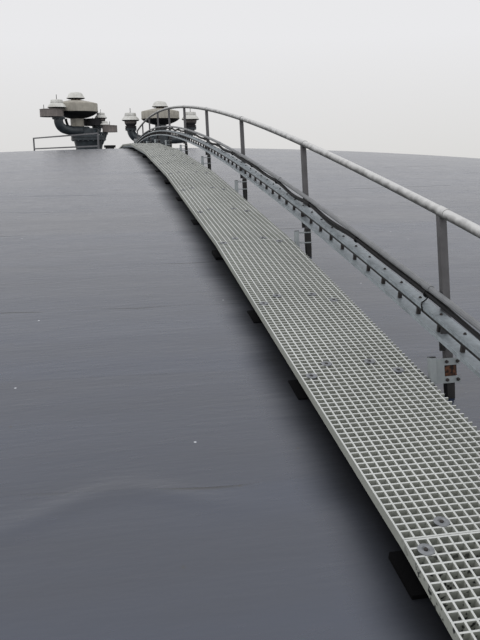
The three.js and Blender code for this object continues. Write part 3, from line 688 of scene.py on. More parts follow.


# Zinc-rich paint, brushed on: matt, with a painted highlight on top of the rail, and dull on the posts. Bitumen over
# their feet is black.
rail_zinc = weathered("blotched_zinc_rail", "545453", "cacac9", 0.1, 0.55, 0.003)
post_zinc = weathered("dull_zinc_paint_posts", "454445", "5e5d5f", 0.1, 0.6, 0.002)
bitumen = weathered("bitumen_coated_foot", "0a0a0b", "1c1b1b", 0.0, 0.7, 0.003)
print("handrail finishes made")

# %% Handrail pipe and couplings
RAIL_CENTRE = (0, -RAIL_TAPER * ROOF_RADIUS, SPHERE_Z + RAIL_LIFT)


def rail_piece(start, end, radius, step):
    section = round_section(POST_X, CROWN + RAIL_LIFT, radius, 24, RAIL_CENTRE[1])
    return follow(section, start - RAIL_CENTRE[1], end - RAIL_CENTRE[1], step, RAIL_CENTRE)


pipe = [rail_piece(POSTS[0] - 0.2, POSTS[-1] + 0.26, 0.024, 0.2)]
pipe += [rail_piece(arc + 0.12, arc + 0.2, 0.0262, 0.04) for arc in POSTS[:-1]]
finished(pipe, "handrail_pipe", rail_zinc, ["handrail_1", "handrail_2", "handrail_3"])

# %% Posts and their feet
def post_place(arc):
    """The frame at a post's foot, turned to its lean."""
    return Matrix.Translation((POST_X, *seat(arc).translation.yz)) @ Matrix.Rotation(-POST_LEAN, 4, "X")


posts, feet = [], []
for arc in POSTS:
    reach = RAIL_LIFT - RAIL_TAPER * arc
    head = seat(max(arc, -DOME_ARC) + reach * math.tan(POST_LEAN)).translation.z + reach
    length = (head - seat(arc).translation.z) / math.cos(POST_LEAN)
    posts.append(move(block((-0.019, -0.019, 0.1), (0.019, 0.019, length - 0.006), 0.003), post_place(arc)))
    foot = block((-0.021, -0.021, -0.03), (0.021, 0.021, 0.105), 0.004)
    editing(foot)
    cut((0, 0, 0.04), (0, 0, 1))
    pick(foot, lambda v: v.co.z < 0.0, "verts")
    bpy.ops.transform.resize(value=(0.85, 1, 1), center_override=(0.0, 0, 0))
    feet.append(move(done(foot), post_place(arc)))
finished(posts, "handrail_posts", post_zinc)
finished(feet, "post_feet", bitumen)

# %% [markdown]
# ## Brackets at the posts
# Each post is held by a galvanised upright channel beside it. At the two nearest a plate with a window reaches
# across, with nuts at its corners and rust in the window. The farther ones have two thin straps and a black wrap
# round the foot. The plate starts as a block, cut along the window's edges: the two window faces are deleted and
# their rims bridged.

# %% Post brackets
def window_plate():
    """A plate across the post with a window cut in it."""
    plate = block((-0.083, -0.031, 0.067), (0.045, -0.025, 0.187))
    editing(plate)
    cut((-0.035, 0, 0), (1, 0, 0))
    for z in (0.1, 0.153):
        cut((0, 0, z), (0, 0, 1))
    pick(plate, lambda f: f.calc_center_median().x > -0.035 and 0.1 < f.calc_center_median().z < 0.153)
    bpy.ops.mesh.delete(type="FACE")
    pick(plate, lambda e: e.is_boundary, "edges")
    bpy.ops.mesh.bridge_edge_loops()
    return outwards(plate)


def folded_channel():
    """The upright channel beside a post, hollowed at its head."""
    channel = block((-0.115, -0.045, 0.067), (-0.08, -0.012, 0.197), 0.007)
    editing(channel)
    pick(channel, lambda f: f.normal.z > 0.9)
    bpy.ops.mesh.inset(thickness=0.004)
    extrude((0, 0, -0.02))
    return done(channel)


# Small steel parts dipped in zinc and left outside for years: flat grey, with clouds 40 mm wide.
bracket_zinc = mottled("dull_dipped_zinc_bracket", "83898b", "a2a8aa", 26.0, 5.0, {"Metallic": 0.4, "Roughness": 0.6})
places = [post_place(arc) for arc in POSTS]
strap_levels = (0.1, 0.178)
straps = [block((-0.084, -0.028, z), (-0.02, -0.024, z + 0.01), 0.001) for z in strap_levels]
brackets = [repeat(window_plate(), places[:2]), repeat(straps, places[2:]), repeat(folded_channel(), places)]
finished(brackets, "post_brackets", bracket_zinc)
FORWARD = Matrix.Rotation(math.pi / 2, 4, "X")
nuts = []
for z in (0.083, 0.17):
    for x in (-0.024, 0.032):
        nut = turned([(0.0085, 0.0), (0.0085, 0.007), (0.005, 0.0075), (0.005, 0.016)], 6)
        nuts.append(move(nut, Matrix.Translation((x, -0.031, z)) @ FORWARD))
finished(repeat(nuts, places[:2]), "bracket_nuts", rusted)
cap = block((-0.113, -0.046, 0.194), (-0.082, -0.012, 0.1985), 0.0015)
hanger = block((-0.046, -0.022, 0.222), (-0.0225, -0.006, 0.3), 0.003)
finished(repeat([cap, hanger], places), "bracket_caps_and_hangers", bitumen)

# %% Rust in the windows, and the wraps at the farther posts
# Bare steel that has rusted where the zinc is gone: orange blooms 18 mm wide on a dark ground.
rust = mottled("rust_bloom_on_steel", "17100e", "5f3c28", 55.0, 5.0, {"Roughness": 0.9}, spread=(0.42, 0.6))
patch = block((-0.034, -0.0245, 0.1005), (0.031, -0.0185, 0.1525), 0.002)
finished(repeat(patch, places[:2]), "rusted_window_patches", rust)
finished(repeat(block((-0.0215, -0.0215, 0.05), (0.0215, 0.0215, 0.215), 0.004), places[2:]), "bitumen_post_wraps",
         bitumen)
bands = [block((-0.024, -0.026, z), (0.024, 0.024, z + 0.01), 0.002) for z in strap_levels]
finished(repeat(bands, places[2:]), "wrap_bands", bracket_zinc)

# %% [markdown]
# ## Cable ladder
# A cable ladder stands on its edge beside the posts. Its rails are folded channels with their backs up, so the
# sky lights a pale strip over a dark lip, and short rungs tie the two. A black strip under the lip paints its shade.
# One section is swept down the dome, spun round the shoulder and drawn down the wall, as the real one is bent.

# %% Cable ladder rails
RAIL_TOPS = (0.386, 0.305)
LADDER_END = 5.545
RISER_FOOT = 1.4


def down_the_shoulder(section, foot):
    """Carries a swept section's last face round the shoulder and down the wall, to a height above the ground."""
    limit = seat(-DOME_ARC).translation.y + 0.02
    editing(section)
    pick(section, lambda f: abs(f.normal.x) < 0.1 and f.calc_center_median().y < limit
         and f.normal.y < -0.9 and abs(f.normal.z) < 0.3)
    bpy.ops.mesh.spin(steps=8, angle=math.pi / 2 - TANGENT, center=(0, -KNUCKLE_R, KNUCKLE_Z), axis=(1, 0, 0))
    for _ in range(8):
        extrude((0, 0, (foot - KNUCKLE_Z) / 8))
    return outwards(section)


def channel_section(near, far, top, depth, thick):
    """A channel with its back up, drawn over the crown: its back is cut in three, and the two ends go down."""
    made = strip_section(near, far, top - thick, top)
    editing(made)
    for x in (near + thick, far - thick):
        cut((x, 0, 0), (1, 0, 0))

    def under_the_ends(edge):
        middle = (edge.verts[0].co.x + edge.verts[1].co.x) / 2
        level = max(v.co.z for v in edge.verts) < top - thick + 1e-5
        return level and (middle < near + thick or middle > far - thick)

    pick(made, under_the_ends, "edges")
    extrude((0, 0, thick - depth))
    return done(made)


rails = []
for top in RAIL_TOPS:
    section = channel_section(LADDER_NEAR, LADDER_FAR, CROWN + top, 0.02, 0.003)
    rails.append(down_the_shoulder(follow(section, LADDER_END, -DOME_ARC), RISER_FOOT))
finished(rails, "cable_ladder_rails", galvanised, replaces=["cable_ladder_1", "cable_ladder_2", "cable_riser"],
         angle=30)

# %% Dark edge under the upper rail: a black strip of painted shade
edge = strip_section(LADDER_NEAR + 0.001, LADDER_NEAR + 0.006, CROWN + 0.353, CROWN + 0.3665)
edge = down_the_shoulder(follow(edge, LADDER_END, -DOME_ARC), RISER_FOOT)
finished(edge, "ladder_edge_shade_strip", bitumen, angle=30)

# %% Rungs, bolts and wall brackets
FIRST_RUNG, RUNG_PITCH = 5.407, 0.24
last_rung = -DOME_ARC - SHOULDER_ARC - (KNUCKLE_Z - RISER_FOOT) + 0.1
rung_count = math.ceil((FIRST_RUNG - last_rung) / RUNG_PITCH)
rung_arcs = [FIRST_RUNG - RUNG_PITCH * k for k in range(rung_count)]
# The rungs take the near-black rusted finish: painted shade between the rails.
rung = block((0.357, -0.008, RAIL_TOPS[1] - 0.003), (0.377, 0.008, RAIL_TOPS[0] - 0.0035), 0.002)
finished(repeat(rung, [seat(a) for a in rung_arcs]), "ladder_rungs", rusted)
bolt = turned([(0.009, 0.0), (0.009, 0.002), (0.006, 0.0025), (0.006, 0.007), (0.004, 0.008)], 8)
bolt_spots = [at(seat(a), 0.374, 0.012, top) for a in rung_arcs for top in RAIL_TOPS]
finished(repeat(bolt, bolt_spots), "ladder_bolts", rusted)
arms = []
for arc in POSTS:
    arms.append(move(block((0.362, -0.004, 0.285), (0.403, 0.004, 0.38), 0.001), seat(arc + 0.3 * POST_LEAN)))
for z in (2.0, 4.4, 6.8, 9.2, 10.8):
    arms.append(block((0.35, -TANK_RADIUS - 0.275, z - 0.02), (0.39, -TANK_RADIUS + 0.1, z + 0.02), 0.003))
finished(arms, "ladder_arms", post_zinc)

# %% [markdown]
# ## Conduit and cables
# A grey plastic conduit and three black cables run up the wall and along the posts, held all the way, so each is
# one swept curve. The conduit has a socket every three metres. The cables sag a little between their ties, which
# a few sine waves along their curves give.

# %% Plastic finishes
# Extruded grey PVC, dulled by sun, with dust in clouds 70 mm wide.
conduit_pvc = mottled("grey_pvc_conduit", "5c5e61", "86888a", 14.0, 5.0, {"Roughness": 0.5})
# Extruded black PVC: soft and dull, with a trace of dust.
sheath = mottled("black_pvc_cable_sheath", "070708", "151517", 30.0, 4.0, {"Roughness": 0.7, "Specular IOR Level": 0.3})
print("plastic finishes made")

# %% Conduit, cables and ties
def tube(points, radius, rings, smooth=False):
    """A tube along points, as a curve that is turned into a mesh. A smooth one rounds its corners."""
    bpy.ops.object.select_all(action="DESELECT")
    bpy.ops.curve.primitive_bezier_curve_add(location=(0, 0, 0))
    shape = bpy.context.object.data
    shape.splines.clear()
    line = shape.splines.new("BEZIER" if smooth else "POLY")
    line.resolution_u = 6
    spots = line.bezier_points if smooth else line.points
    spots.add(len(points) - 1)
    for spot, place in zip(spots, points):
        if smooth:
            spot.co = place
            spot.handle_left_type = spot.handle_right_type = "AUTO"
        else:
            spot.co = (*place, 1.0)
    shape.dimensions = "3D"
    shape.bevel_depth = radius
    shape.bevel_resolution = rings
    shape.use_fill_caps = True
    take(bpy.context.object)
    bpy.ops.object.convert(target="MESH")
    return bpy.context.object


def run_of_tube(x, lift, radius, start, foot, sides=12, wave=None, step=0.08):
    """A tube along the roof's line, down the shoulder and the wall."""
    last = -DOME_ARC - SHOULDER_ARC - (KNUCKLE_Z - foot)
    count = round((start - last) / step)
    points = []
    for i in range(count + 1):
        arc = start + (last - start) * i / count
        side, rise = wave(arc) if wave else (0.0, 0.0)
        points.append(seat(arc, lift + rise) @ Vector((x + side, 0, 0)))
    return tube(points, radius, sides // 4 - 1)


TIE_START, TIE_PITCH = -13.944, 1.0255
CABLE_X = LADDER_FAR - 0.018
CABLE_HEAD, CABLE_FOOT = 5.635, 1.3
CONDUIT_LIFT = 0.461
conduit = run_of_tube(CABLE_X, CONDUIT_LIFT, 0.016, CABLE_HEAD, CABLE_FOOT, 16, step=0.12)
sockets = []
for k in range(8):
    sleeve = round_section(CABLE_X, CROWN + CONDUIT_LIFT, 0.0185, 16)
    sockets.append(follow(sleeve, -16.03 + 3 * k, -15.96 + 3 * k, 0.035))
finished([conduit] + sockets, "conduit_run", conduit_pvc, ["conduit"])


def cable_wave(phase):
    def wave(arc):
        beat = math.sin(math.pi * (arc - TIE_START) / TIE_PITCH) ** 2
        wander = math.sin(arc * 2.1 + phase) * 0.5 + math.sin(arc * 5.3 + 2 * phase) * 0.3
        return 0.006 * wander * beat - 0.002, -0.013 * beat * (1 + 0.8 * math.sin(1.5 * arc + 2.8 + 0.2 * phase))
    return wave


cables = []
for n, (x, lift) in enumerate(((-0.008, 0.434), (0.007, 0.432), (0.0, 0.42))):
    cables.append(run_of_tube(CABLE_X + x, lift, 0.0076, CABLE_HEAD, CABLE_FOOT, 8, cable_wave(1.7 * n)))
finished(cables, "black_cables", sheath, ["cable_bundle"])
tie = turned([(0.0215, -0.005), (0.0225, 0.0), (0.0215, 0.005)], 16)
move(tie, Matrix.Translation((CABLE_X, 0, 0.428)) @ FORWARD)
finished(repeat(tie, [seat(TIE_START + TIE_PITCH * n) for n in range(-14, 19)]), "cable_ties", sheath)

# %% [markdown]
# ## Relief valve clusters
# Past the crown stand two groups of relief valves. Each has a wide drum on a shallow bowl, a weather hat over its
# neck, and smaller side valves on bent pipes. All are round, so each is turned from its profile. Their paint is
# pale where rain washes it and almost black underneath, with dirt and painted shade.

# %% Valve finishes
def chalked(name, pale, stained, under_dirt_and_shade, rough=0.7):
    """Old paint that rain has chalked and streaked: pale above, dark with dirt and painted shade on the faces that look
    down.
    """
    made, add, shader, position = new_finish(name, {"Roughness": rough, "Specular IOR Level": 0.35})
    cloud = add("TexNoise", {"Vector": position, "Scale": 5.0, "Detail": 6.0})
    drawn = add("Mapping", {"Vector": position, "Scale": (22, 22, 2.2)})
    run = add("TexNoise", {"Vector": drawn, "Scale": 1.0, "Detail": 4.0})
    share = add("Math", {0: run, 1: 0.6, 2: cloud}, operation="MULTIPLY_ADD")
    share = add("MapRange", {0: share, 1: 0.6, 2: 1.05})
    tone = add("Mix", {0: share, 6: pale, 7: stained})
    facing = add("SeparateXYZ", {0: add("NewGeometry", out="Normal")}, "Z")
    # Faces that look down turn to the under colour: dirt and painted shade.
    downward_dirt_and_shade = add("MapRange", {0: facing, 1: -0.1, 2: -0.45})
    feed(shader, {"Base Color": add("Mix", {0: downward_dirt_and_shade, 6: tone, 7: under_dirt_and_shade}),
                  "Normal": add("Bump", {"Strength": 0.5, "Distance": 0.002, "Height": cloud})})
    return made


# Alkyd paint on spun sheet: soft, matt and streaked down the fall line.
hat_paint = chalked("chalked_white_alkyd_paint", "dcdcd8", "bdbcb6", "26262a")
drum_paint = chalked("chalked_beige_alkyd_paint", "b1ada2", "938f86", "2c2a2a")
grey_paint = chalked("dulled_grey_alkyd_paint", "78716e", "5d5855", "242326")
neck_paint = chalked("rust_stained_neck_paint", "8d7b6c", "5e4d43", "2c2522", 0.8)
# The bowls face down under the drums and are painted near black all over: soot, with painted shade.
bowl_paint = chalked("soot_and_painted_shade_bowl_paint", "2c2b2d", "1f1f22", "141416", 0.8)

# Cast iron under two coats of dark epoxy: smooth, with a soft highlight along each bend.
epoxy = mottled("dark_epoxy_on_cast_iron", "262c31", "3d464b", 7.0, 6.0, {"Roughness": 0.42}, (0.35, 0.7), (0.4, 0.003))
print("valve finishes made")

# %% [markdown]
# Each cluster has its own frame: right and away as seen from the ladder head, and up from the roof under it. A
# form is made at the origin, where it is easy to turn, and then moved into that frame.

# %% Cluster frames and valve forms
CLUSTER_TURN = -0.1975


def cluster_frame(x, y):
    roof = SPHERE_Z + math.sqrt(ROOF_RADIUS**2 - x**2 - y**2)
    return Matrix.Translation((x, y, roof)) @ Matrix.Rotation(CLUSTER_TURN, 4, "Z")


LEFT, RIGHT = cluster_frame(-1.464, 4.889), cluster_frame(1.311, 7.168)
forms = {"bowls": [], "drums": [], "necks": [], "hats": [], "grey_drums": [], "cups": [], "rims": [], "rods": []}


def form(kind, profile, spot, scale=1.0, sides=40):
    """Turns one round form of a valve and keeps it with its kind."""
    forms[kind].append(move(turned([(r * scale, z * scale) for r, z in profile], sides), spot))


def main_valve(spot):
    """A wide drum on a bowl, with a weather hat over its neck."""
    form("bowls", [(0.215, 0.0), (0.36, 0.034), (0.49, 0.084), (0.582, 0.135), (0.632, 0.174), (0.645, 0.192)],
         spot, sides=56)
    form("drums", [(0.635, 0.192), (0.65, 0.193), (0.652, 0.201), (0.65, 0.209), (0.644, 0.211), (0.644, 0.425),
                   (0.637, 0.438), (0.62, 0.446), (0.4, 0.497), (0.205, 0.535), (0.165, 0.54)], spot, sides=56)
    form("necks", [(0.14, 0.535), (0.14, 0.575), (0.152, 0.585), (0.152, 0.596)], spot)
    # A dark cone under the hat's brim: painted shade.
    form("rims", [(0.15, 0.562), (0.2, 0.567), (0.245, 0.578), (0.274, 0.593)], spot)
    form("hats", [(0.15, 0.593), (0.262, 0.59), (0.278, 0.593), (0.28, 0.6), (0.27, 0.612), (0.244, 0.642),
                  (0.222, 0.69), (0.2, 0.727), (0.168, 0.752), (0.115, 0.77), (0.055, 0.779), (0.01, 0.781)], spot)


def brimmed_hat(spot, radius):
    """A side valve: a flanged cup under a brimmed hat, with a rod on top."""
    scale = radius / 0.3
    form("rims", [(0.19, 0.0), (0.195, 0.006), (0.195, 0.03), (0.176, 0.032), (0.176, 0.044), (0.19, 0.046),
                  (0.19, 0.078), (0.184, 0.082)], spot, scale)
    form("cups", [(0.15, 0.08), (0.162, 0.1), (0.195, 0.15), (0.207, 0.2), (0.21, 0.275)], spot, scale)
    # A dark cone under the hat's brim: painted shade.
    form("rims", [(0.208, 0.24), (0.25, 0.248), (0.28, 0.259), (0.295, 0.275)], spot, scale)
    form("hats", [(0.205, 0.274), (0.285, 0.272), (0.3, 0.276), (0.301, 0.284), (0.292, 0.298), (0.268, 0.336),
                  (0.235, 0.372), (0.206, 0.398), (0.196, 0.418), (0.2, 0.424), (0.2, 0.432), (0.193, 0.44),
                  (0.19, 0.5), (0.181, 0.512), (0.16, 0.517), (0.05, 0.52)], spot, scale)
    form("rods", [(0.02, 0.515), (0.02, 0.53), (0.01, 0.534), (0.01, 0.672), (0.007, 0.677)], spot, scale, 10)


def flat_drum(spot, rim, height, rod, aside=0.0):
    """A flat drum with rolled edges, and a rod on its lid."""
    form("grey_drums", [(rim - 0.012, 0.0), (rim - 0.002, 0.001), (rim, 0.008), (rim - 0.004, 0.014),
                        (rim - 0.006, height - 0.02), (rim, height - 0.016), (rim, height - 0.008),
                        (rim - 0.008, height - 0.002), (rim * 0.5, height + 0.006), (0.03, height + 0.009)], spot)
    form("rods", [(0.013, 0.0), (0.013, 0.02), (0.009, 0.024), (0.009, rod - 0.004), (0.007, rod)],
         at(spot, aside, 0, height), sides=10)


# %% Valves of the two clusters
main_valve(at(RIGHT, 0, 0, 1.1284))
brimmed_hat(at(RIGHT, -1.025, 0, 1.0154), 0.3)
brimmed_hat(at(RIGHT, 1.025, 0, 1.0154), 0.3)
main_valve(at(LEFT, 0, 0, 1.0974))
flat_drum(at(LEFT, -0.555, -0.845, 1.1134), 0.348, 0.223, 0.13, -0.225)
brimmed_hat(at(LEFT, -0.39, -0.845, 1.13), 0.274)
flat_drum(at(LEFT, 0.405, 0.4, 0.8904), 0.298, 0.215, 0.03)
forms["dark_drums"] = [forms["grey_drums"].pop()]
brimmed_hat(at(LEFT, 0.66, 0.42, 0.945), 0.195)
flat_drum(at(LEFT, 0.992, 0, 0.6764), 0.23, 0.206, 0.115)
brimmed_hat(at(LEFT, 0.843, 0, 0.774), 0.135)
print({kind: len(made) for kind, made in forms.items()})

# %% Valve pieces
valve_nodes = ["left_main_valve", "right_main_valve", "right_side_valve_a", "right_side_valve_b",
               "left_side_valve_a", "left_side_valve_b", "left_side_valve_c"]
for kind, name, finish in (("hats", "weather_hats", hat_paint), ("drums", "main_drums", drum_paint),
                           ("bowls", "main_bowls", bowl_paint), ("necks", "valve_necks", neck_paint),
                           ("grey_drums", "flat_drums", grey_paint), ("dark_drums", "far_flat_drum", bowl_paint),
                           ("cups", "valve_cups", grey_paint), ("rims", "cup_flanges_and_brim_shade", bowl_paint),
                           ("rods", "test_rods", rusted)):
    finished(forms[kind], name, finish, valve_nodes if kind == "hats" else (),
             50 if kind == "bowls" else 35)

# %% [markdown]
# The pipework under the valves is cast: wide bends that end in pairs of bolted flanges. A bend is a smooth curve
# through its corners with a round bevel, turned to a mesh. One hexagon bolt is copied round every flange.

# %% Pipes and flanges of the clusters
def bent_pipe(frame, points, radius):
    made = tube(points, radius, 6, smooth=True)
    editing(made)
    return move(outwards(made), frame)


def flange_bolts(spot, radius, count, height):
    """A ring of hexagon bolts."""
    bolt = turned([(0.017, 0.0), (0.017, 0.012), (0.011, 0.013), (0.011, height), (0.016, height + 0.001),
                   (0.016, height + 0.014)], 6)
    angles = [2 * math.pi * (i + 0.5) / count for i in range(count)]
    bolts.append(repeat(bolt, [at(spot @ Matrix.Rotation(angle, 4, "Z"), radius, 0) for angle in angles]))


def flange_pair(spot, radius):
    """Two flange discs with a gap between them, and their bolts."""
    made = turned([(radius - 0.006, -0.06), (radius, -0.055), (radius, -0.034), (radius - 0.014, -0.032),
                   (radius - 0.014, -0.027), (radius, -0.025), (radius, -0.005), (radius - 0.006, 0.0)], 32)
    pipes.append(move(made, spot))
    flange_bolts(at(spot, 0, 0, -0.074), radius - 0.027, 8, 0.075)


pipes, bolts = [], []
half = [(-1.025, 0, 0.985), (-1.005, 0, 0.88), (-0.92, 0, 0.745), (-0.765, 0, 0.662), (-0.575, 0, 0.635)]
pipes.append(bent_pipe(RIGHT, half + [(0, 0, 0.635)] + [(-x, y, z) for x, y, z in half[::-1]], 0.14))
pipes.append(bent_pipe(LEFT, [(0.325, 0, 0.722), (0.06, -0.3, 0.722), (-0.15, -0.56, 0.735), (-0.32, -0.78, 0.83),
                              (-0.365, -0.845, 0.95), (-0.365, -0.845, 1.083)], 0.135))
pipes.append(bent_pipe(LEFT, [(0.325, 0, 0.7), (0.43, 0.2, 0.7), (0.52, 0.37, 0.74), (0.54, 0.4, 0.8),
                              (0.54, 0.4, 0.86)], 0.12))
pipes.append(bent_pipe(LEFT, [(0.325, 0, 0.205), (0.51, 0, 0.215), (0.65, 0, 0.34), (0.74, 0, 0.51),
                              (0.785, 0, 0.59), (0.79, 0, 0.646)], 0.105))
for spot, radius in ((at(RIGHT, -1.025, 0, 1.015), 0.195), (at(RIGHT, 1.025, 0, 1.015), 0.195),
                     (at(LEFT, -0.365, -0.845, 1.113), 0.19), (at(LEFT, 0.54, 0.4, 0.89), 0.165),
                     (at(LEFT, 0.79, 0, 0.676), 0.14)):
    flange_pair(spot, radius)
print(len(pipes), "pipe forms,", len(bolts), "rings of bolts")

# %% Columns and nozzles of the clusters
SKIRT = -0.15
column = [(0.28, SKIRT), (0.28, 0.418), (0.29, 0.43), (0.364, 0.435), (0.37, 0.44), (0.37, 0.472), (0.356, 0.475),
          (0.356, 0.481), (0.37, 0.484), (0.37, 0.515), (0.364, 0.52), (0.272, 0.525), (0.27, 0.53), (0.27, 0.785),
          (0.262, 0.795), (0.205, 0.8), (0.195, 0.806), (0.195, 1.128)]
pipes.append(move(turned(column, 48), RIGHT))
flange_bolts(at(RIGHT, 0, 0, 0.418), 0.335, 16, 0.115)
nozzle = [(0.39, SKIRT), (0.396, 0.1), (0.403, 0.22), (0.44, 0.39), (0.455, 0.437), (0.52, 0.441), (0.528, 0.447),
          (0.528, 0.512), (0.514, 0.515), (0.514, 0.521), (0.528, 0.524), (0.528, 0.584), (0.52, 0.59),
          (0.31, 0.603), (0.3, 0.61), (0.3, 0.79), (0.29, 0.8)]
base = at(LEFT, 0.325, 0)
pipes.append(move(turned(nozzle, 56), base))
flange_bolts(at(base, 0, 0, 0.42), 0.49, 20, 0.185)
finished(pipes, "cluster_pipework", epoxy, ["left_manifold", "right_manifold"])
finished(bolts, "flange_bolts", stainless)
pale = turned([(0.2, 0.79), (0.2, 0.86), (0.206, 0.865), (0.206, 0.88), (0.2, 0.885), (0.2, 1.09), (0.19, 1.097)], 40)
finished(move(pale, LEFT), "pale_column", drum_paint)
stub = turned([(0.195, 0.64), (0.195, 0.7), (0.19, 0.79)], 32)
finished(move(stub, LEFT), "column_stub", epoxy)

# %% [markdown]
# One thin black loop ties the cable ladder at its splice by the near post. It has no form but its line, so it is
# a smooth curve through five points, as the bends are.

# %% Tie loop at the cable ladder's splice
loop = bent_pipe(seat(-16.03), [(0.336, -0.03, 0.362), (0.336, -0.012, 0.386), (0.35, 0.012, 0.392),
                                (0.372, 0.028, 0.394), (0.386, 0.02, 0.42)], 0.0035)
finished(loop, "ladder_tie_loop", sheath)

# %% [markdown]
# A test lever reaches from the near side valve to the column: a thin black bar with an eye at its end. A bent bar
# keeps its section, so it starts as a block, and its lower face is extruded along in three bends.

# %% Test lever
lever = block((-0.036, -0.02, 0.0), (0.036, 0.02, 0.07), 0.005)
move(lever, Matrix.Translation((-0.195, -0.63, 1.0)))
editing(lever)
pick(lever, lambda f: f.normal.z < -0.9)
for push in ((0.01, 0.1, -0.1), (0.06, 0.14, -0.075), (0.1, 0.2, -0.05)):
    extrude(push)
outwards(lever)
eye = turned([(0.012, -0.026), (0.045, -0.02), (0.054, 0.0), (0.045, 0.02), (0.012, 0.026)], 20)
move(eye, Matrix.Translation((-0.115, -0.4, 0.83)) @ FORWARD)
finished(move(together([lever, eye]), LEFT), "test_lever", bitumen)

# %% [markdown]
# ## Crown vent
# A low black vent lies on the crown between the clusters: a flat housing on a short collar. Its front is cut into
# eight fields, and a slot is inset in each and pushed in, which keeps the housing one closed mesh.

# %% Crown vent
VENT = Matrix.Translation((-0.64, 0.6, SPHERE_Z + math.sqrt(ROOF_RADIUS**2 - 0.64**2 - 0.6**2)))
housing = block((-0.145, -0.08, 0.04), (0.145, 0.08, 0.1), 0.006)
editing(housing)
for step in range(1, 8):
    cut((-0.145 + 0.29 * step / 8, 0, 0), (1, 0, 0))
pick(housing, lambda f: f.normal.y < -0.95 and f.calc_area() > 0.0008)
bpy.ops.mesh.inset(thickness=0.008, use_individual=True)
extrude((0, 0.03, 0))
outwards(housing)
collar = turned([(0.125, -0.03), (0.122, 0.0), (0.112, 0.012), (0.11, 0.042)], 28)
finished(move(together([housing, collar]), VENT), "crown_vent", bitumen)

# %% [markdown]
# ## Wall cladding
# The wall wears trapezoid steel sheets under dull grey paint. Single sheets side by side would leave open seams.
# Here a ring with four points to each rib is drawn up to the eave and folded back inside, and every second pair of
# points is then pushed in: one closed ribbed wall.

# %% Cladding finish
# Steel sheet painted on a coil: even and half matt, with rain runs 200 mm wide and splashed dirt at its foot.
cladding, add, shader, position = new_finish("coil_coated_cladding_sheet", {"Roughness": 0.45})
drawn = add("Mapping", {"Vector": position, "Scale": (5, 5, 0.35)})
run = add("TexNoise", {"Vector": drawn, "Scale": 1.0, "Detail": 5.0})
cloud = add("TexNoise", {"Vector": position, "Scale": 0.7, "Detail": 5.0})
share = add("Math", {0: run, 1: 0.8, 2: cloud}, operation="MULTIPLY_ADD")
share = add("MapRange", {0: share, 1: 0.65, 2: 1.15})
tone = add("Mix", {0: share, 6: "9a9fa2", 7: "868b8f"})
height = add("SeparateXYZ", {0: position}, "Z")
splash = add("MapRange", {0: height, 1: 0.9, 2: 0.1})
splash = add("Math", {0: splash, 1: run}, operation="MULTIPLY")
feed(shader, {"Base Color": add("Mix", {0: splash, 6: tone, 7: "5c5a52"})})
# Concrete cast against boards: matt, with stains half a metre wide.
concrete = mottled("cast_concrete_base", "77756f", "9c9a93", 2.0, 8.0, {"Roughness": 0.9}, bump=(0.5, 0.004))
print("cladding and concrete made")

# %% Ribbed wall
RIBS = 600
RIB_DEPTH = 0.035
EAVE = KNUCKLE_Z - 0.002


def wall_ring(radius, low, high, thick, sides):
    """A closed ring of wall between two heights."""
    made = fresh(bpy.ops.mesh.primitive_circle_add, vertices=sides, radius=radius, fill_type="NOTHING",
                 location=(0, 0, low))
    editing(made, "EDGE")
    inner = (radius - thick) / radius
    extrude((0, 0, high - low))
    extrude()
    bpy.ops.transform.resize(value=(inner, inner, 1), center_override=(0, 0, high))
    extrude((0, 0, low - high))
    pick(made, lambda e: e.is_boundary, "edges")
    bpy.ops.mesh.bridge_edge_loops()
    return outwards(made)


face = TANK_RADIUS - 0.006
wall = wall_ring(face, 0.12, EAVE, 0.12, RIBS * 4)
editing(wall, "VERT")
pick(wall, lambda v: math.hypot(v.co.x, v.co.y) > TANK_RADIUS - 0.05
     and round(math.atan2(v.co.y, v.co.x) / (2 * math.pi) * RIBS * 4) % 4 in (0, 1), "verts")
inward = (face - RIB_DEPTH) / face
bpy.ops.transform.resize(value=(inward, inward, 1), center_override=(0, 0, 0))
finished(done(wall), "wall_cladding", cladding, [f"wall_segment_{i}" for i in range(1, 7)], angle=20)

# %% Wall trims
trims = [wall_ring(TANK_RADIUS, 0.0, 0.14, 0.1, 240), wall_ring(TANK_RADIUS, EAVE - 0.14, EAVE, 0.1, 240)]
trims += [wall_ring(TANK_RADIUS, z - 0.03, z + 0.03, 0.07, 240) for z in (4.1, 8.1)]
finished(trims, "wall_trims", cladding)

# %% [markdown]
# ## Access ladder, landing and small parts
# The ladder and its cage have their true shape in the CAD, so they keep it and take the galvanised finish. The
# landing gets the walkway's grating, in a frame of folded angle on four legs.

# %% Landing
(x0, y0, _), (x1, y1, top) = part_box("landing")
low = top - GRATING_DEPTH
tray = grating_panel(y1 - y0 - 0.02 - BAR, x1 - x0 - 0.02)
move(tray, Matrix.Translation((x0 + 0.01 + BAR / 2, y0 + 0.01 + BAR / 2, top - 0.001)))
finished(tray, "landing_grating", grp, angle=20)
bars = [block((x, y0, low - 0.062), (x + 0.008, y1, top), 0.001) for x in (x0, x1 - 0.008)]
bars += [block((x0, y, low - 0.062), (x1, y + 0.008, top), 0.001) for y in (y0, y1 - 0.008)]
for y in (y0 + 0.33 * (y1 - y0), y0 + 0.66 * (y1 - y0)):
    bars.append(block((x0 + 0.004, y - 0.02, low - 0.05), (x1 - 0.004, y + 0.02, low - 0.0005), 0.002))
for x in (x0 + 0.01, x1 - 0.06):
    for y in (-TANK_RADIUS + 0.03, y1 - 0.12):
        foot = KNUCKLE_Z + math.sqrt(max(0.0, KNUCKLE**2 - (abs(y + 0.025) - KNUCKLE_R) ** 2))
        bars.append(block((x, y, foot - 0.04), (x + 0.05, y + 0.05, low - 0.0005), 0.003))
        bars.append(block((x - 0.02, y - 0.02, foot - 0.02), (x + 0.07, y + 0.07, foot + 0.006), 0.002))
finished(bars, "landing_frame", galvanised, replaces=["landing"])

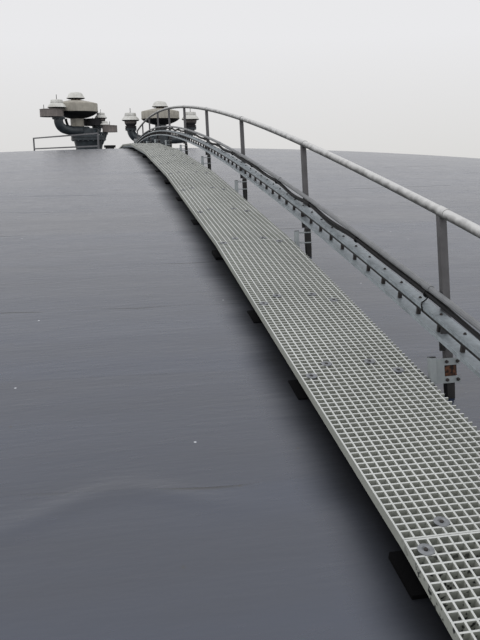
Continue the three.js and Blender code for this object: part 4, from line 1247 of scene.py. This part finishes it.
# %% Finishes of the solids that keep their shape
# The same zinc paint, thinner and less stained.
frame_zinc = weathered("dull_zinc_guard_frame", "5b5b5e", "7f8083", 0.1, 0.6, 0.002)
KEPT = {galvanised: ["access_ladder", "ladder_cage_left", "ladder_cage_back", "ladder_cage_right",
                     "landing_rail_left", "landing_rail_right"],
        frame_zinc: ["guard_frame"], concrete: ["tank_floor"]}
for finish, names in KEPT.items():
    for name in names:
        for slot in frame["nodes"][name].material_slots:
            slot.material = finish
print("painted", sum(len(names) for names in KEPT.values()), "solids")

# %% [markdown]
# The conduit and the cables end in two plastic boxes. Each is a block, and its lid is one face that is inset, sunk
# for a groove, inset again and pulled out, so that box and lid stay one closed mesh.

# %% Junction boxes
# Injection-moulded polycarbonate: plain grey, half matt, with a fine moulded grain.
box_plastic, add, shader, position = new_finish("moulded_grey_polycarbonate", {"Roughness": 0.5})
grain = add("TexNoise", {"Vector": position, "Scale": 400.0, "Detail": 2.0})
dust = add("TexNoise", {"Vector": position, "Scale": 9.0, "Detail": 5.0})
feed(shader, {"Base Color": add("Mix", {0: dust, 6: "7d8082", 7: "979a9b"}),
              "Normal": add("Bump", {"Strength": 0.4, "Distance": 0.0004, "Height": grain})})


def lidded(low, high, axis, sign):
    """A box whose face on one side carries a raised lid with a groove round it."""
    low, high = Vector(low), Vector(high)
    push = Vector((0, 0, 0))
    push[axis] = sign
    face_in = high if sign > 0 else low
    face_in[axis] -= sign * 0.008
    made = block(low, high, 0.004)
    editing(made)
    pick(made, lambda f: f.normal.dot(push) > 0.99 and f.calc_area() > 0.01)
    for gap, rise in ((0.004, -0.004), (0.004, 0.0), (0.0, 0.012)):
        if gap:
            bpy.ops.mesh.inset(thickness=gap)
        if rise:
            extrude(push * rise)
    return outwards(made)


low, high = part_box("junction_box_crown")
finished(lidded(low, high, 0, -1), "crown_box", box_plastic, ["junction_box_crown"])
low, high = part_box("junction_box_foot")
back = block((0.34, high[1] - 0.25, 1.04), (0.42, high[1], 1.16), 0.004)
foot_box = lidded(low, (high[0], low[1] + 0.15, high[2]), 1, -1)
finished([foot_box, back], "foot_box", box_plastic, ["junction_box_foot"])

# %% Close
low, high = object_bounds()
print("scene box", [round(v, 3) for v in low], [round(v, 3) for v in high])
